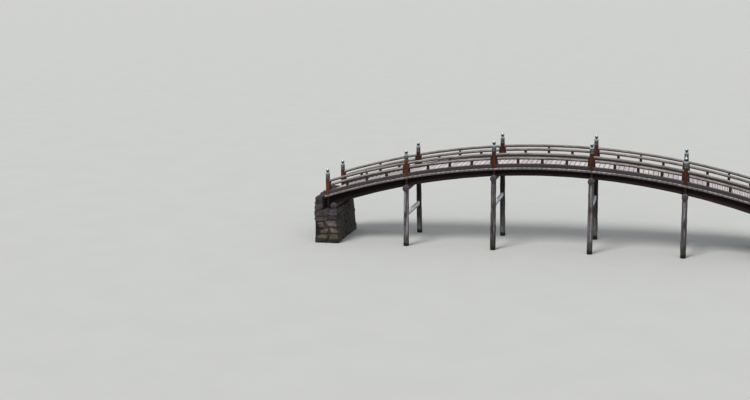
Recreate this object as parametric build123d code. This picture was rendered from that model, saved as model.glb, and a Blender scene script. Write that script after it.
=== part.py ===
from build123d import *
import math
import os

# Timber moon bridge: an arched footbridge of five bays on four pile bents, with stone abutments.
# Millimetres. X runs along the bridge, Y across it and Z up, with the water surface at Z = 0.
# "near" is the side towards -Y and "far" the side towards +Y. Bents, bays and posts count from -X.

# Length of each bay, from post line to post line, from -X to +X
END_BAY = 3900
SIDE_BAY = 4190
MIDDLE_BAY = 4500

# Arch of the deck: radius of its upper surface, and that surface's height at the crest
DECK_RADIUS = 33800
DECK_CREST = 3940

# Deck of cross planks, whose length sets the width of all that carries them and stands on them
PLANK_THICKNESS = 85
PLANK_LENGTH = 2960
PLANK_GAP = 6
DECK_OVERRUN = 160

# Three lines of girders, each a little deeper towards the abutments, the outer ones set in from
# the planks' ends to the middle of the girder
GIRDER_WIDTH = 200
GIRDER_INSET = 330
GIRDER_DEPTH_AT_CREST = 320
GIRDER_BOTTOM_RADIUS = 30700
GIRDER_SPLICE_GAP = 4

# Crossbeams: whole logs, let into the girders from below, that stand out past the line of the posts
LOG_DIAMETER = 300
LOG_OVERHANG = 260
LOG_NOTCH = 85

# Bearing logs on the abutments: behind the line of the end posts, and a little past the girders
BEARING_LOG_SETBACK = 260
BEARING_LOG_OVERHANG = 150

# Piles, which spread outwards as they go down and are thicker at the foot, a little outside the
# line of the posts at their heads
PILE_TOP_DIAMETER = 250
PILE_FOOT_DIAMETER = 272
PILE_OUTSET = 35
PILE_BATTER_DEG = 3.2

# Tie through each pair of piles: the level of its axis at the outer and at the middle bents
TIE_LEVEL_OUTER = 1520
TIE_LEVEL_MIDDLE = 2095
TIE_HEIGHT = 220
TIE_THICKNESS = 100
TIE_OVERHANG = 130

# Railing posts, set in from the planks' ends: a round shaft on the planks, a tenon for the cap, and
# a square leg below the shaft
POST_INSET = 140
POST_DIAMETER = 212
POST_SHOULDER = 800
POST_TENON_DIAMETER = 184
POST_TENON_HEIGHT = 250
POST_LEG = 100

# Metal cap: a sleeve over the post's tenon, a ring, a neck and an onion-shaped knob
CAP_WALL = 7
CAP_SLEEVE_HEIGHT = 262
CAP_RING_DIAMETER = 220
CAP_RING_HEIGHT = 22
CAP_NECK_DIAMETER = 98
CAP_NECK_HEIGHT = 40
CAP_KNOB_DIAMETER = 166
CAP_KNOB_HEIGHT = 200

# Railing: sill on the planks, lower rail and top rail, each given by its height above the deck
SILL_WIDTH = 120
SILL_HEIGHT = 185
LOWER_RAIL_WIDTH = 110
LOWER_RAIL_BOTTOM = 378
LOWER_RAIL_HEIGHT = 120
TOP_RAIL_WIDTH = 130
TOP_RAIL_BOTTOM = 565
TOP_RAIL_HEIGHT = 122
TOP_RAIL_CHAMFER = 26

# Struts: three short ones under the lower rail in each bay, and one above it at mid-bay
STRUT_WIDTH = 125
STRUT_THICKNESS = 85
UPPER_STRUT_WIDTH = 92
UPPER_STRUT_THICKNESS = 76
STRUTS_PER_BAY = 3

# Stiles: upright boards against the flanks of each post, from the sill to the top rail, into which
# the lower rail is framed. They reach further from the post at the foot than at the head.
STILE_THICKNESS = 118
STILE_FOOT_REACH = 76
STILE_HEAD_REACH = 48

# Stone abutment: a battered mass with a shelf for the bearing log and a back wall up to the deck,
# wider at the top than the planks by a margin on each side
ABUTMENT_FRONT_SETBACK = 500
ABUTMENT_MARGIN = 160
ABUTMENT_BATTER = 0.06
BACK_WALL_THICKNESS = 450
BACK_WALL_CLEARANCE = 20

# Clearance round what passes through or butts against another piece
FIT = 0.4

# Places that follow from the sizes above
POST_X = [0.5 * MIDDLE_BAY, 0.5 * MIDDLE_BAY + SIDE_BAY, 0.5 * MIDDLE_BAY + SIDE_BAY + END_BAY]
POST_X = [-x for x in reversed(POST_X)] + POST_X
BENT_X = POST_X[1:-1]
DECK_END = POST_X[-1] + DECK_OVERRUN
GIRDER_CREST = DECK_CREST - PLANK_THICKNESS
GIRDER_BOTTOM_CREST = GIRDER_CREST - GIRDER_DEPTH_AT_CREST
BEARING_LOG_X = POST_X[-1] - BEARING_LOG_SETBACK
GIRDER_SPACING = 0.5 * PLANK_LENGTH - GIRDER_INSET
GIRDER_FACE = GIRDER_SPACING + 0.5 * GIRDER_WIDTH
POST_ROW_OFFSET = 0.5 * PLANK_LENGTH - POST_INSET
PILE_TOP_OFFSET = POST_ROW_OFFSET + PILE_OUTSET
ABUTMENT_HALF_WIDTH = 0.5 * PLANK_LENGTH + ABUTMENT_MARGIN
LOG_LENGTH = 2 * (POST_ROW_OFFSET + LOG_OVERHANG)
BEARING_LOG_LENGTH = 2 * (GIRDER_FACE + BEARING_LOG_OVERHANG)
SIDES = {"near": -1, "far": 1}


def arc_height(x, crest, radius):
    """Height at x of an arc that has its top at x = 0."""
    return crest - radius + math.sqrt(radius**2 - x**2)


def above_deck(offset):
    """Height as a function of x, at a constant distance above the deck's upper surface."""
    return lambda x: arc_height(x, DECK_CREST + offset, DECK_RADIUS + offset)


def girder_bottom(x):
    """Height of the girders' underside at x."""
    return arc_height(x, GIRDER_BOTTOM_CREST, GIRDER_BOTTOM_RADIUS)


def arched_strip(x_start, x_end, y_centre, width, bottom, top):
    """A bar of the given width whose underside and upper side follow two arcs in side view."""
    x_middle = 0.5 * (x_start + x_end)
    upper = ThreePointArc(*[(x, top(x)) for x in (x_start, x_middle, x_end)])
    lower = ThreePointArc(*[(x, bottom(x)) for x in (x_end, x_middle, x_start)])
    right_end = Line(upper @ 1, lower @ 0)
    left_end = Line(lower @ 1, upper @ 0)
    outline = make_face([upper, right_end, lower, left_end])
    side_plane = Plane.XZ.offset(-(y_centre + 0.5 * width))
    return extrude(side_plane * outline, amount=width)


def upright_cylinder(x, y, z_bottom, z_top, diameter):
    """A vertical cylinder between two heights."""
    at_foot = Align.CENTER, Align.CENTER, Align.MIN
    return Pos(x, y, z_bottom) * Cylinder(0.5 * diameter, z_top - z_bottom, align=at_foot)


def bays(line):
    """The pairs of neighbouring values in a list of places."""
    return list(zip(line[:-1], line[1:]))


def post_holes():
    """All posts' shafts, wider by the clearance, for coping the timbers that end against them."""
    reach = DECK_CREST + POST_SHOULDER + CAP_SLEEVE_HEIGHT
    return [
        upright_cylinder(x, side * POST_ROW_OFFSET, 0, reach, POST_DIAMETER + 2 * FIT)
        for x in POST_X
        for side in SIDES.values()
    ]


def post_leg(x, side, bottom, top, extra=0.0):
    """The square leg of a post, against the outer girder's face."""
    y = side * (GIRDER_FACE + 0.5 * POST_LEG)
    size = POST_LEG + 2 * extra
    return Pos(x, y, bottom) * Box(size, size, top - bottom, align=(Align.CENTER, Align.CENTER, Align.MIN))


def leg_holes():
    """All posts' legs, wider by the clearance, for cutting their mortises through the deck."""
    return [post_leg(x, side, 0, 2 * DECK_CREST, FIT) for x in POST_X for side in SIDES.values()]


def log_height(x):
    """Height of the axis of a crossbeam at x, which is let into the girders by the notch's depth."""
    return girder_bottom(x) + LOG_NOTCH - 0.5 * LOG_DIAMETER


def log_at(x, length, extra=0.0):
    """A whole log across the bridge, before the girders are let into it."""
    along_y = Pos(x, 0, log_height(x)) * Rot(90, 0, 0)
    return along_y * Cylinder(0.5 * LOG_DIAMETER + extra, length)


def make_girder(y_centre):
    """One line of girders: a length for each bay, butted over the crossbeams."""
    ends = [-DECK_END] + BENT_X + [DECK_END]
    gap = 0.5 * GIRDER_SPLICE_GAP
    lengths = []
    for start, end in bays(ends):
        x_start = start if start == ends[0] else start + gap
        x_end = end if end == ends[-1] else end - gap
        lengths.append(
            arched_strip(x_start, x_end, y_centre, GIRDER_WIDTH, girder_bottom, above_deck(-PLANK_THICKNESS))
        )
    return lengths


def make_deck(holes):
    """The planking: one stretch of planks for each bay, with mortises for the posts' legs."""
    ends = [-DECK_END] + BENT_X + [DECK_END]
    gap = 0.5 * PLANK_GAP
    stretches = []
    for start, end in bays(ends):
        x_start = start if start == ends[0] else start + gap
        x_end = end if end == ends[-1] else end - gap
        whole = arched_strip(x_start, x_end, 0, PLANK_LENGTH, above_deck(-PLANK_THICKNESS), above_deck(0))
        stretches.append(whole - holes)
    return stretches


def make_crossbeam(x, girders):
    """A log across the bridge, notched for the girders that lie in it."""
    return log_at(x, LOG_LENGTH) - girders


def pile_offset(height_below_top):
    """Distance of a pile's axis from the bridge's middle, at a depth below its head."""
    return PILE_TOP_OFFSET + height_below_top * math.tan(math.radians(PILE_BATTER_DEG))


def make_tie(x, extra=0.0):
    """The flat board through both piles of a bent, which stands out beyond them."""
    level = TIE_LEVEL_MIDDLE if abs(x) < MIDDLE_BAY else TIE_LEVEL_OUTER
    half = pile_offset(log_height(x) - level) + 0.5 * PILE_TOP_DIAMETER + TIE_OVERHANG
    size = (TIE_THICKNESS + 2 * extra, 2 * half, TIE_HEIGHT + 2 * extra)
    return Pos(x, 0, level) * Box(*size)


def make_pile(x, side):
    """A leaning pile: coped to the log above it, with a mortise for the tie, and level at its foot."""
    head = log_height(x)
    lean = math.radians(PILE_BATTER_DEG)
    length = head / math.cos(lean)
    below = PILE_FOOT_DIAMETER
    taper = 0.5 * (PILE_FOOT_DIAMETER - PILE_TOP_DIAMETER) / length
    log = Cone(
        0.5 * PILE_FOOT_DIAMETER + below * taper,
        0.5 * PILE_TOP_DIAMETER,
        length + below,
        align=(Align.CENTER, Align.CENTER, Align.MAX),
    )
    leaning = Pos(x, side * PILE_TOP_OFFSET, head) * Rot(side * PILE_BATTER_DEG, 0, 0) * log
    ground = Pos(x, side * PILE_TOP_OFFSET, 0) * Box(
        8 * below, 8 * below, 2 * below, align=(Align.CENTER, Align.CENTER, Align.MAX)
    )
    return leaning - ground - log_at(x, LOG_LENGTH, FIT) - make_tie(x, FIT)


def make_post(x, side, footing):
    """A round post: coped to the sloping planks, with a leg that stands on the log or stone below."""
    deck = above_deck(0)(x)
    y = side * POST_ROW_OFFSET
    shoulder = deck + POST_SHOULDER
    shaft = upright_cylinder(x, y, deck - 0.5 * PLANK_THICKNESS, shoulder, POST_DIAMETER)
    tenon_top = shoulder + POST_TENON_HEIGHT
    tenon = upright_cylinder(x, y, deck + 0.5 * POST_SHOULDER, tenon_top, POST_TENON_DIAMETER)
    under_deck = above_deck(-2 * PLANK_THICKNESS)
    start, end = x - POST_DIAMETER, x + POST_DIAMETER
    planks = arched_strip(start, end, y, 2 * POST_DIAMETER, under_deck, above_deck(0))
    post = shaft - planks + tenon + post_leg(x, side, footing, deck + 0.5 * POST_LEG)
    if x in BENT_X:
        post = post - log_at(x, LOG_LENGTH, FIT)
    return post


def make_cap(x, side):
    """The metal cap: a hollow sleeve on the post's shoulder under a solid ring, neck and knob."""
    bore = 0.5 * POST_TENON_DIAMETER + FIT
    sleeve = bore + CAP_WALL
    ring = 0.5 * CAP_RING_DIAMETER
    neck = 0.5 * CAP_NECK_DIAMETER
    knob = 0.5 * CAP_KNOB_DIAMETER
    bore_top = POST_TENON_HEIGHT + FIT
    ring_top = CAP_SLEEVE_HEIGHT + CAP_RING_HEIGHT
    neck_top = ring_top + CAP_NECK_HEIGHT
    widest = neck_top + 0.33 * CAP_KNOB_HEIGHT
    tip = neck_top + CAP_KNOB_HEIGHT
    shoulder = Polyline(
        (0, bore_top),
        (bore, bore_top),
        (bore, 0),
        (sleeve, 0),
        (sleeve, CAP_SLEEVE_HEIGHT),
        (ring, CAP_SLEEVE_HEIGHT),
        (ring, ring_top),
    )
    hollow_neck = ThreePointArc(
        (ring, ring_top), (neck + 0.2 * (ring - neck), ring_top + 0.25 * CAP_NECK_HEIGHT), (neck, neck_top)
    )
    bulb = Spline(
        (neck, neck_top),
        (knob, widest),
        (0.5 * knob, neck_top + 0.76 * CAP_KNOB_HEIGHT),
        (0, tip),
        tangents=[(1, 0.35), (-0.35, 1)],
    )
    axis_line = Line((0, tip), (0, bore_top))
    half_section = make_face([*shoulder.edges(), hollow_neck, bulb, axis_line])
    turned = revolve(Plane.XZ * half_section, Axis.Z)
    return Pos(x, side * POST_ROW_OFFSET, above_deck(0)(x) + POST_SHOULDER) * turned


def make_rail(side, width, bottom, height, holes, chamfer_size=0.0):
    """One line of the railing: a curved bar in each bay, coped to the posts at its ends."""
    bars = []
    for start, end in bays(POST_X):
        y = side * POST_ROW_OFFSET
        bar = arched_strip(start, end, y, width, above_deck(bottom), above_deck(bottom + height))
        if chamfer_size:
            arcs = bar.edges().filter_by(GeomType.CIRCLE)
            bar = chamfer(arcs.sort_by(SortBy.RADIUS)[-2:], chamfer_size)
        bars.append(bar - holes)
    return bars


def make_stile(x, way, side, extra=0.0):
    """A stile on one flank of the post at x, before it is coped, with a sloping outer edge."""
    base, top = above_deck(SILL_HEIGHT), above_deck(TOP_RAIL_BOTTOM)
    foot = x + way * (0.5 * POST_DIAMETER + STILE_FOOT_REACH + extra)
    head = x + way * (0.5 * POST_DIAMETER + STILE_HEAD_REACH + extra)
    x_start, x_end = sorted((x, foot))
    blank = arched_strip(x_start, x_end, side * POST_ROW_OFFSET, STILE_THICKNESS + 2 * extra, base, top)
    outline = Polyline(
        (x, base(x) - POST_DIAMETER),
        (foot, base(x) - POST_DIAMETER),
        (foot, base(x)),
        (head, top(x)),
        (head, top(x) + POST_DIAMETER),
        (x, top(x) + POST_DIAMETER),
        close=True,
    )
    return blank & extrude(Plane.XZ * make_face(outline), amount=PLANK_LENGTH, both=True)


def make_stiles(side, extra=0.0):
    """The stiles of one side: one at each end of every bay."""
    return [
        make_stile(x, way, side, extra)
        for start, end in bays(POST_X)
        for x, way in ((start, 1), (end, -1))
    ]


def make_struts(side):
    """The railing's struts: short ones under the lower rail, and one over it at mid-bay."""
    y = side * POST_ROW_OFFSET
    lower_top = LOWER_RAIL_BOTTOM + LOWER_RAIL_HEIGHT
    struts = []
    for start, end in bays(POST_X):
        for number in range(1, STRUTS_PER_BAY + 1):
            x = start + (end - start) * number / (STRUTS_PER_BAY + 1)
            x_start, x_end = x - 0.5 * STRUT_WIDTH, x + 0.5 * STRUT_WIDTH
            struts.append(
                arched_strip(
                    x_start, x_end, y, STRUT_THICKNESS, above_deck(SILL_HEIGHT), above_deck(LOWER_RAIL_BOTTOM)
                )
            )
        middle = 0.5 * (start + end)
        x_start, x_end = middle - 0.5 * UPPER_STRUT_WIDTH, middle + 0.5 * UPPER_STRUT_WIDTH
        struts.append(
            arched_strip(
                x_start, x_end, y, UPPER_STRUT_THICKNESS, above_deck(lower_top), above_deck(TOP_RAIL_BOTTOM)
            )
        )
    return struts


def shelf_height():
    """Height of the abutment's shelf, on which the bearing log lies."""
    return log_height(BEARING_LOG_X) - 0.5 * LOG_DIAMETER


def make_abutment(end):
    """A mass of masonry with battered faces, a shelf in front and a back wall behind the girders."""
    shelf = shelf_height()
    landing = above_deck(0)(DECK_END)
    back = DECK_END + BACK_WALL_CLEARANCE + BACK_WALL_THICKNESS
    wall_face = DECK_END + BACK_WALL_CLEARANCE
    front = POST_X[-1] - ABUTMENT_FRONT_SETBACK
    spread = ABUTMENT_BATTER * landing
    side_view = Polyline(
        (front - ABUTMENT_BATTER * shelf, 0),
        (back, 0),
        (back, landing),
        (wall_face, landing),
        (wall_face, shelf),
        (front, shelf),
        close=True,
    )
    half = ABUTMENT_HALF_WIDTH + spread
    mass = extrude(Plane.XZ.offset(-half) * make_face(side_view), amount=2 * half)
    end_view = Polyline(
        (-half, 0),
        (half, 0),
        (ABUTMENT_HALF_WIDTH, landing),
        (-ABUTMENT_HALF_WIDTH, landing),
        close=True,
    )
    battered = extrude(Plane.YZ * make_face(end_view), amount=back)
    block = mass & battered
    return block if end > 0 else mirror(block, Plane.YZ)


def make_bearing_log(end, girders):
    """The log on the abutment's shelf, flattened underneath and notched for the girders."""
    bed = Pos(end * BEARING_LOG_X, 0, shelf_height()) * Box(
        2 * LOG_DIAMETER, 2 * BEARING_LOG_LENGTH, LOG_DIAMETER, align=(Align.CENTER, Align.CENTER, Align.MAX)
    )
    return log_at(end * BEARING_LOG_X, BEARING_LOG_LENGTH) - bed - girders


def write(name, solids):
    """Writes one node's solids to its own STEP file."""
    gathered = [s for shape in solids for s in shape.solids()]
    shape = gathered[0] if len(gathered) == 1 else Compound(gathered)
    export_step(shape, f"parts/{name}.step")


def main():
    """Builds every piece and writes one file for each node."""
    os.makedirs("parts", exist_ok=True)
    holes = post_holes()
    girders = {
        "near": make_girder(-GIRDER_SPACING),
        "middle": make_girder(0),
        "far": make_girder(GIRDER_SPACING),
    }
    all_girders = [length for line in girders.values() for length in line]
    for name, lengths in girders.items():
        write(f"girder_{name}", lengths)
    write("deck", make_deck(leg_holes()))

    for number, x in enumerate(BENT_X, 1):
        write(f"crossbeam_{number}", [make_crossbeam(x, all_girders)])
        write(f"tie_{number}", [make_tie(x)])
        for name, side in SIDES.items():
            write(f"pile_{number}_{name}", [make_pile(x, side)])

    for name, end in (("left", -1), ("right", 1)):
        write(f"abutment_{name}", [make_abutment(end)])
        write(f"bearing_log_{name}", [make_bearing_log(end, all_girders)])

    for name, side in SIDES.items():
        for number, x in enumerate(POST_X, 1):
            footing = log_height(x) if x in BENT_X else shelf_height()
            write(f"post_{number}_{name}", [make_post(x, side, footing)])
        write(f"post_caps_{name}", [make_cap(x, side) for x in POST_X])
        write(f"sill_{name}", make_rail(side, SILL_WIDTH, 0, SILL_HEIGHT, holes))
        write(
            f"lower_rail_{name}",
            make_rail(
                side, LOWER_RAIL_WIDTH, LOWER_RAIL_BOTTOM, LOWER_RAIL_HEIGHT, make_stiles(side, FIT) + holes
            ),
        )
        write(
            f"top_rail_{name}",
            make_rail(side, TOP_RAIL_WIDTH, TOP_RAIL_BOTTOM, TOP_RAIL_HEIGHT, holes, TOP_RAIL_CHAMFER),
        )
        stiles = [stile - holes for stile in make_stiles(side)]
        write(f"struts_{name}", make_struts(side) + stiles)


main()
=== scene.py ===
"""Moon bridge: the looks of an arched timber footbridge on four pile bents, with stone abutments.

Metres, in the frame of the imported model: X along the bridge, Y across it, Z up.
"""

import logging
import math
from dataclasses import dataclass, field
from enum import Enum
from functools import cached_property
from itertools import pairwise

import bpy
import numpy as np
from mathutils import Matrix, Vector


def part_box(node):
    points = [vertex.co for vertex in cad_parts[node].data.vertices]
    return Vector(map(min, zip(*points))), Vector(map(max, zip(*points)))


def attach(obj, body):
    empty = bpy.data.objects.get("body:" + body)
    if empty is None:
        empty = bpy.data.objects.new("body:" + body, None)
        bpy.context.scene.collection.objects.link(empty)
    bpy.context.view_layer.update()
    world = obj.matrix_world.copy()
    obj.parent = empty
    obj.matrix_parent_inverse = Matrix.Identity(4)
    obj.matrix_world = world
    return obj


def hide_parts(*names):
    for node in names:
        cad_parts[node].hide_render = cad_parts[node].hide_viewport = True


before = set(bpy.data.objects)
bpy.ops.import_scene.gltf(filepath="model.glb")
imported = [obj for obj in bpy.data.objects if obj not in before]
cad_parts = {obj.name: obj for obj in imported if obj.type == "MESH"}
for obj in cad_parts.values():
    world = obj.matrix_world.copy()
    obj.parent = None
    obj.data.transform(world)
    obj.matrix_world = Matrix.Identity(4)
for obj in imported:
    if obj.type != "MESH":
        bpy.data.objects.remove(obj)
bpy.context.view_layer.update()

LOG = logging.getLogger("moon_bridge")

Array = np.ndarray
Colour = tuple[float, float, float]
Socket = bpy.types.NodeSocket
Outputs = bpy.types.NodeOutputs
Material = bpy.types.Material
Value = float | Socket
Tint = Colour | Socket
SIDES = {"near": -1, "far": 1}
ENDS = {"left": -1, "right": 1}
GRAIN_REACH = 40.0
ACROSS = np.array([0.0, 1.0, 0.0])
UP = np.array([0.0, 0.0, 1.0])


def rgb(red: int, green: int, blue: int) -> Colour:
    """Linear red, green and blue, 0 to 1, of three display values from 0 to 255, by the sRGB curve."""
    shares = [value / 255 for value in (red, green, blue)]
    return tuple(share / 12.92 if share <= 0.04045 else ((share + 0.055) / 1.055) ** 2.4 for share in shares)


def darker(colour: Colour, share: float) -> Colour:
    """A share of a colour's light."""
    return tuple(share * part for part in colour)


# Shapes


@dataclass(frozen=True)
class Arc:
    """An arc in side view with its top at x = 0."""

    crest: float
    radius: float

    def height(self, x: Array) -> Array:
        """Height at x: crest - radius + sqrt(radius^2 - x^2)."""
        return self.crest - self.radius + np.sqrt(self.radius**2 - np.asarray(x, float) ** 2)

    def tilt(self, x: Array) -> Array:
        """Angle of the slope at x, downwards for positive x: asin(x / radius)."""
        return np.arcsin(np.asarray(x, float) / self.radius)

    def raised(self, offset: float) -> "Arc":
        """The concentric arc that lies offset metres further out."""
        return Arc(self.crest + offset, self.radius + offset)

    @classmethod
    def through(cls, crest: float, x: float, z: float) -> "Arc":
        """The arc with its top at crest that passes through (x, z)."""
        drop = crest - z
        return cls(crest, (x**2 + drop**2) / (2 * drop))


@dataclass(frozen=True)
class Ripple:
    """Smooth random unevenness, a sum of plane sine waves with seeded directions and phases."""

    seed: int
    wavelength: float
    amplitude: float
    waves: int = 10

    def at(self, points: Array) -> Array:
        """Unevenness at each point.

        Args:
            points: places, (..., 3).

        Returns:
            amplitude * 0.6 * sqrt(2 / waves) * sum of sin(k . p + phase), (...).
        """
        rng = np.random.default_rng(self.seed)
        directions = rng.normal(size=(self.waves, 3))
        directions /= np.linalg.norm(directions, axis=1, keepdims=True)
        numbers = 2 * np.pi / self.wavelength * rng.uniform(0.6, 1.5, self.waves)
        phases = rng.uniform(0, 2 * np.pi, self.waves)
        waves = np.sin(points @ (directions * numbers[:, None]).T + phases)
        return self.amplitude * 0.6 * math.sqrt(2 / self.waves) * waves.sum(-1)

    def move(self, points: Array) -> Array:
        """The points, each moved by three independent ripples along X, Y and Z."""
        shifts = [Ripple(self.seed + k, self.wavelength, self.amplitude).at(points) for k in (0, 101, 202)]
        return points + np.stack(shifts, -1)


@dataclass(frozen=True)
class Section:
    """Cross-section of a squared timber: a rectangle with chamfered arrises."""

    width: float
    chamfer: float = 0.006
    margin: float = 0.016

    def outline(self, depth: Array) -> tuple[Array, Array, Array]:
        """The outline for each depth, anticlockwise from the lower left.

        Args:
            depth: height of the section at each row, (n,).

        Returns:
            across and up, both (n, 20), and the arris mask, (20,): 1 on an arris, 0 inside a face.
        """
        half, c, m = 0.5 * self.width, self.chamfer, self.margin
        run = np.array([-half + c, -half + m, 0.0, half - m, half - c])
        share, shift = np.array([0.0, 0.0, 0.5, 1.0, 1.0]), np.array([c, m, 0.0, -m, -c])
        rise = depth[:, None] * share + shift
        flat = np.zeros((len(depth), 5))
        top = flat + depth[:, None]
        ring = np.concatenate([run, np.full(5, half), run[::-1], np.full(5, -half)])
        up = np.concatenate([flat, rise, top, rise[:, ::-1]], axis=1)
        return np.tile(ring, (len(depth), 1)), up, np.tile([1.0, 0.0, 0.0, 0.0, 1.0], 4)


class Grain(Enum):
    """Which way the grain of a timber runs, as the order of (along, across, up) in its field."""

    ALONG = (0, 1, 2)
    UPRIGHT = (2, 1, 0)


@dataclass
class Skin:
    """Gathers closed surfaces and makes one object of them."""

    name: str
    points: list[Array] = field(default_factory=list)
    grain: list[Array] = field(default_factory=list)
    arris: list[Array] = field(default_factory=list)
    rise: list[Array] = field(default_factory=list)
    tone: list[Array] = field(default_factory=list)
    quads: list[Array] = field(default_factory=list)
    tris: list[Array] = field(default_factory=list)
    count: int = 0

    def add_shell(
        self, points: Array, quads: Array, tris: Array, grain: Array, arris: Array, tone: float,
        rise: Array | None = None,
    ) -> None:
        """Adds one closed surface and turns its faces outwards by the sign of its volume.

        Args:
            points: the surface's points, (n, 3).
            quads: indices of its four-sided faces, (q, 4).
            tris: indices of its three-sided faces, (t, 3).
            grain: place of each point within its own piece, grain direction first, (n, 3).
            arris: 1 on edges and 0 inside faces, (n,).
            tone: shade of this piece among its like, 0 to 1.
            rise: 0 at the piece's underside and 1 at its top, (n,).
        """
        fans = np.concatenate([quads[:, [0, 1, 2]], quads[:, [0, 2, 3]], tris])
        corners = points[fans] - points.mean(0)
        volume = np.einsum("ij,ij->i", corners[:, 0], np.cross(corners[:, 1], corners[:, 2])).sum()
        if volume < 0:
            quads, tris = quads[:, ::-1], tris[:, ::-1]
        self.points.append(points)
        self.grain.append(grain)
        self.arris.append(arris)
        self.tone.append(np.full(len(points), tone))
        self.rise.append(np.full(len(points), 0.5) if rise is None else rise)
        self.quads.append(quads + self.count)
        self.tris.append(tris + self.count)
        self.count += len(points)

    def add_tube(
        self, grid: Array, grain: Array, arris: Array, tone: float, rise: Array | None = None
    ) -> None:
        """Adds a tube whose rows close on themselves, with a fan over each end.

        Args:
            grid: rows of points along the tube, (n, m, 3).
            grain: the grain field on the same grid, (n, m, 3).
            arris: the arris mask on the same grid, (n, m).
            tone: shade of this piece.
            rise: the height within the piece on the same grid, (n, m).
        """
        n, m = grid.shape[:2]
        i, j = np.meshgrid(np.arange(n - 1), np.arange(m), indexing="ij")
        k = (j + 1) % m
        quads = np.stack([i * m + j, i * m + k, (i + 1) * m + k, (i + 1) * m + j], -1).reshape(-1, 4)
        ring, after = np.arange(m), (np.arange(m) + 1) % m
        start, end, last = n * m, n * m + 1, (n - 1) * m
        tris = np.concatenate(
            [
                np.stack([np.full(m, start), after, ring], -1),
                np.stack([np.full(m, end), last + ring, last + after], -1),
            ]
        )
        centres = np.stack([grid[0].mean(0), grid[-1].mean(0)])
        hearts = np.stack([grain[0].mean(0), grain[-1].mean(0)])
        self.add_shell(
            np.concatenate([grid.reshape(-1, 3), centres]),
            quads,
            tris,
            np.concatenate([grain.reshape(-1, 3), hearts]),
            np.concatenate([arris.ravel(), [0.0, 0.0]]),
            tone,
            None if rise is None else np.concatenate([rise.ravel(), [0.5, 0.5]]),
        )

    def mesh(self) -> bpy.types.Mesh:
        """The gathered surfaces as one smooth mesh, with the fields as attributes of its points.

        Returns:
            The mesh.
        """
        mesh = bpy.data.meshes.new(self.name)
        points, quads, tris = (np.concatenate(part) for part in (self.points, self.quads, self.tris))
        corners = np.concatenate([quads.ravel(), tris.ravel()]).astype(np.int32)
        sizes = np.concatenate([np.full(len(quads), 4), np.full(len(tris), 3)])
        mesh.vertices.add(len(points))
        mesh.vertices.foreach_set("co", points.astype(np.float32).ravel())
        mesh.loops.add(len(corners))
        mesh.loops.foreach_set("vertex_index", corners)
        mesh.polygons.add(len(sizes))
        mesh.polygons.foreach_set("loop_start", np.concatenate([[0], np.cumsum(sizes)[:-1]]).astype(np.int32))
        mesh.update(calc_edges=True)
        mesh.polygons.foreach_set("use_smooth", np.ones(len(sizes), bool))
        mesh.attributes.new("grain", "FLOAT_VECTOR", "POINT").data.foreach_set(
            "vector", np.concatenate(self.grain).astype(np.float32).ravel()
        )
        for name, values in (("arris", self.arris), ("rise", self.rise), ("tone", self.tone)):
            mesh.attributes.new(name, "FLOAT", "POINT").data.foreach_set(
                "value", np.concatenate(values).astype(np.float32)
            )
        return mesh

    def build(self, finish: Material, slot: str, *nodes: str, sharp: float = 50) -> None:
        """Makes the object, dresses it and joins it to the frame.

        Args:
            finish: its material.
            slot: the record's material slot; not used.
            nodes: the CAD nodes that it stands for.
            sharp: angle in degrees from which an edge stays sharp.
        """
        mesh = self.mesh()
        mesh.set_sharp_from_angle(angle=math.radians(sharp))
        mesh.materials.append(finish)
        piece = bpy.data.objects.new(self.name, mesh)
        bpy.context.scene.collection.objects.link(piece)
        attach(piece, "root")
        if nodes:
            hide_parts(*nodes)
        LOG.info("%s: %d points, %d faces", self.name, len(mesh.vertices), len(mesh.polygons))


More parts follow.
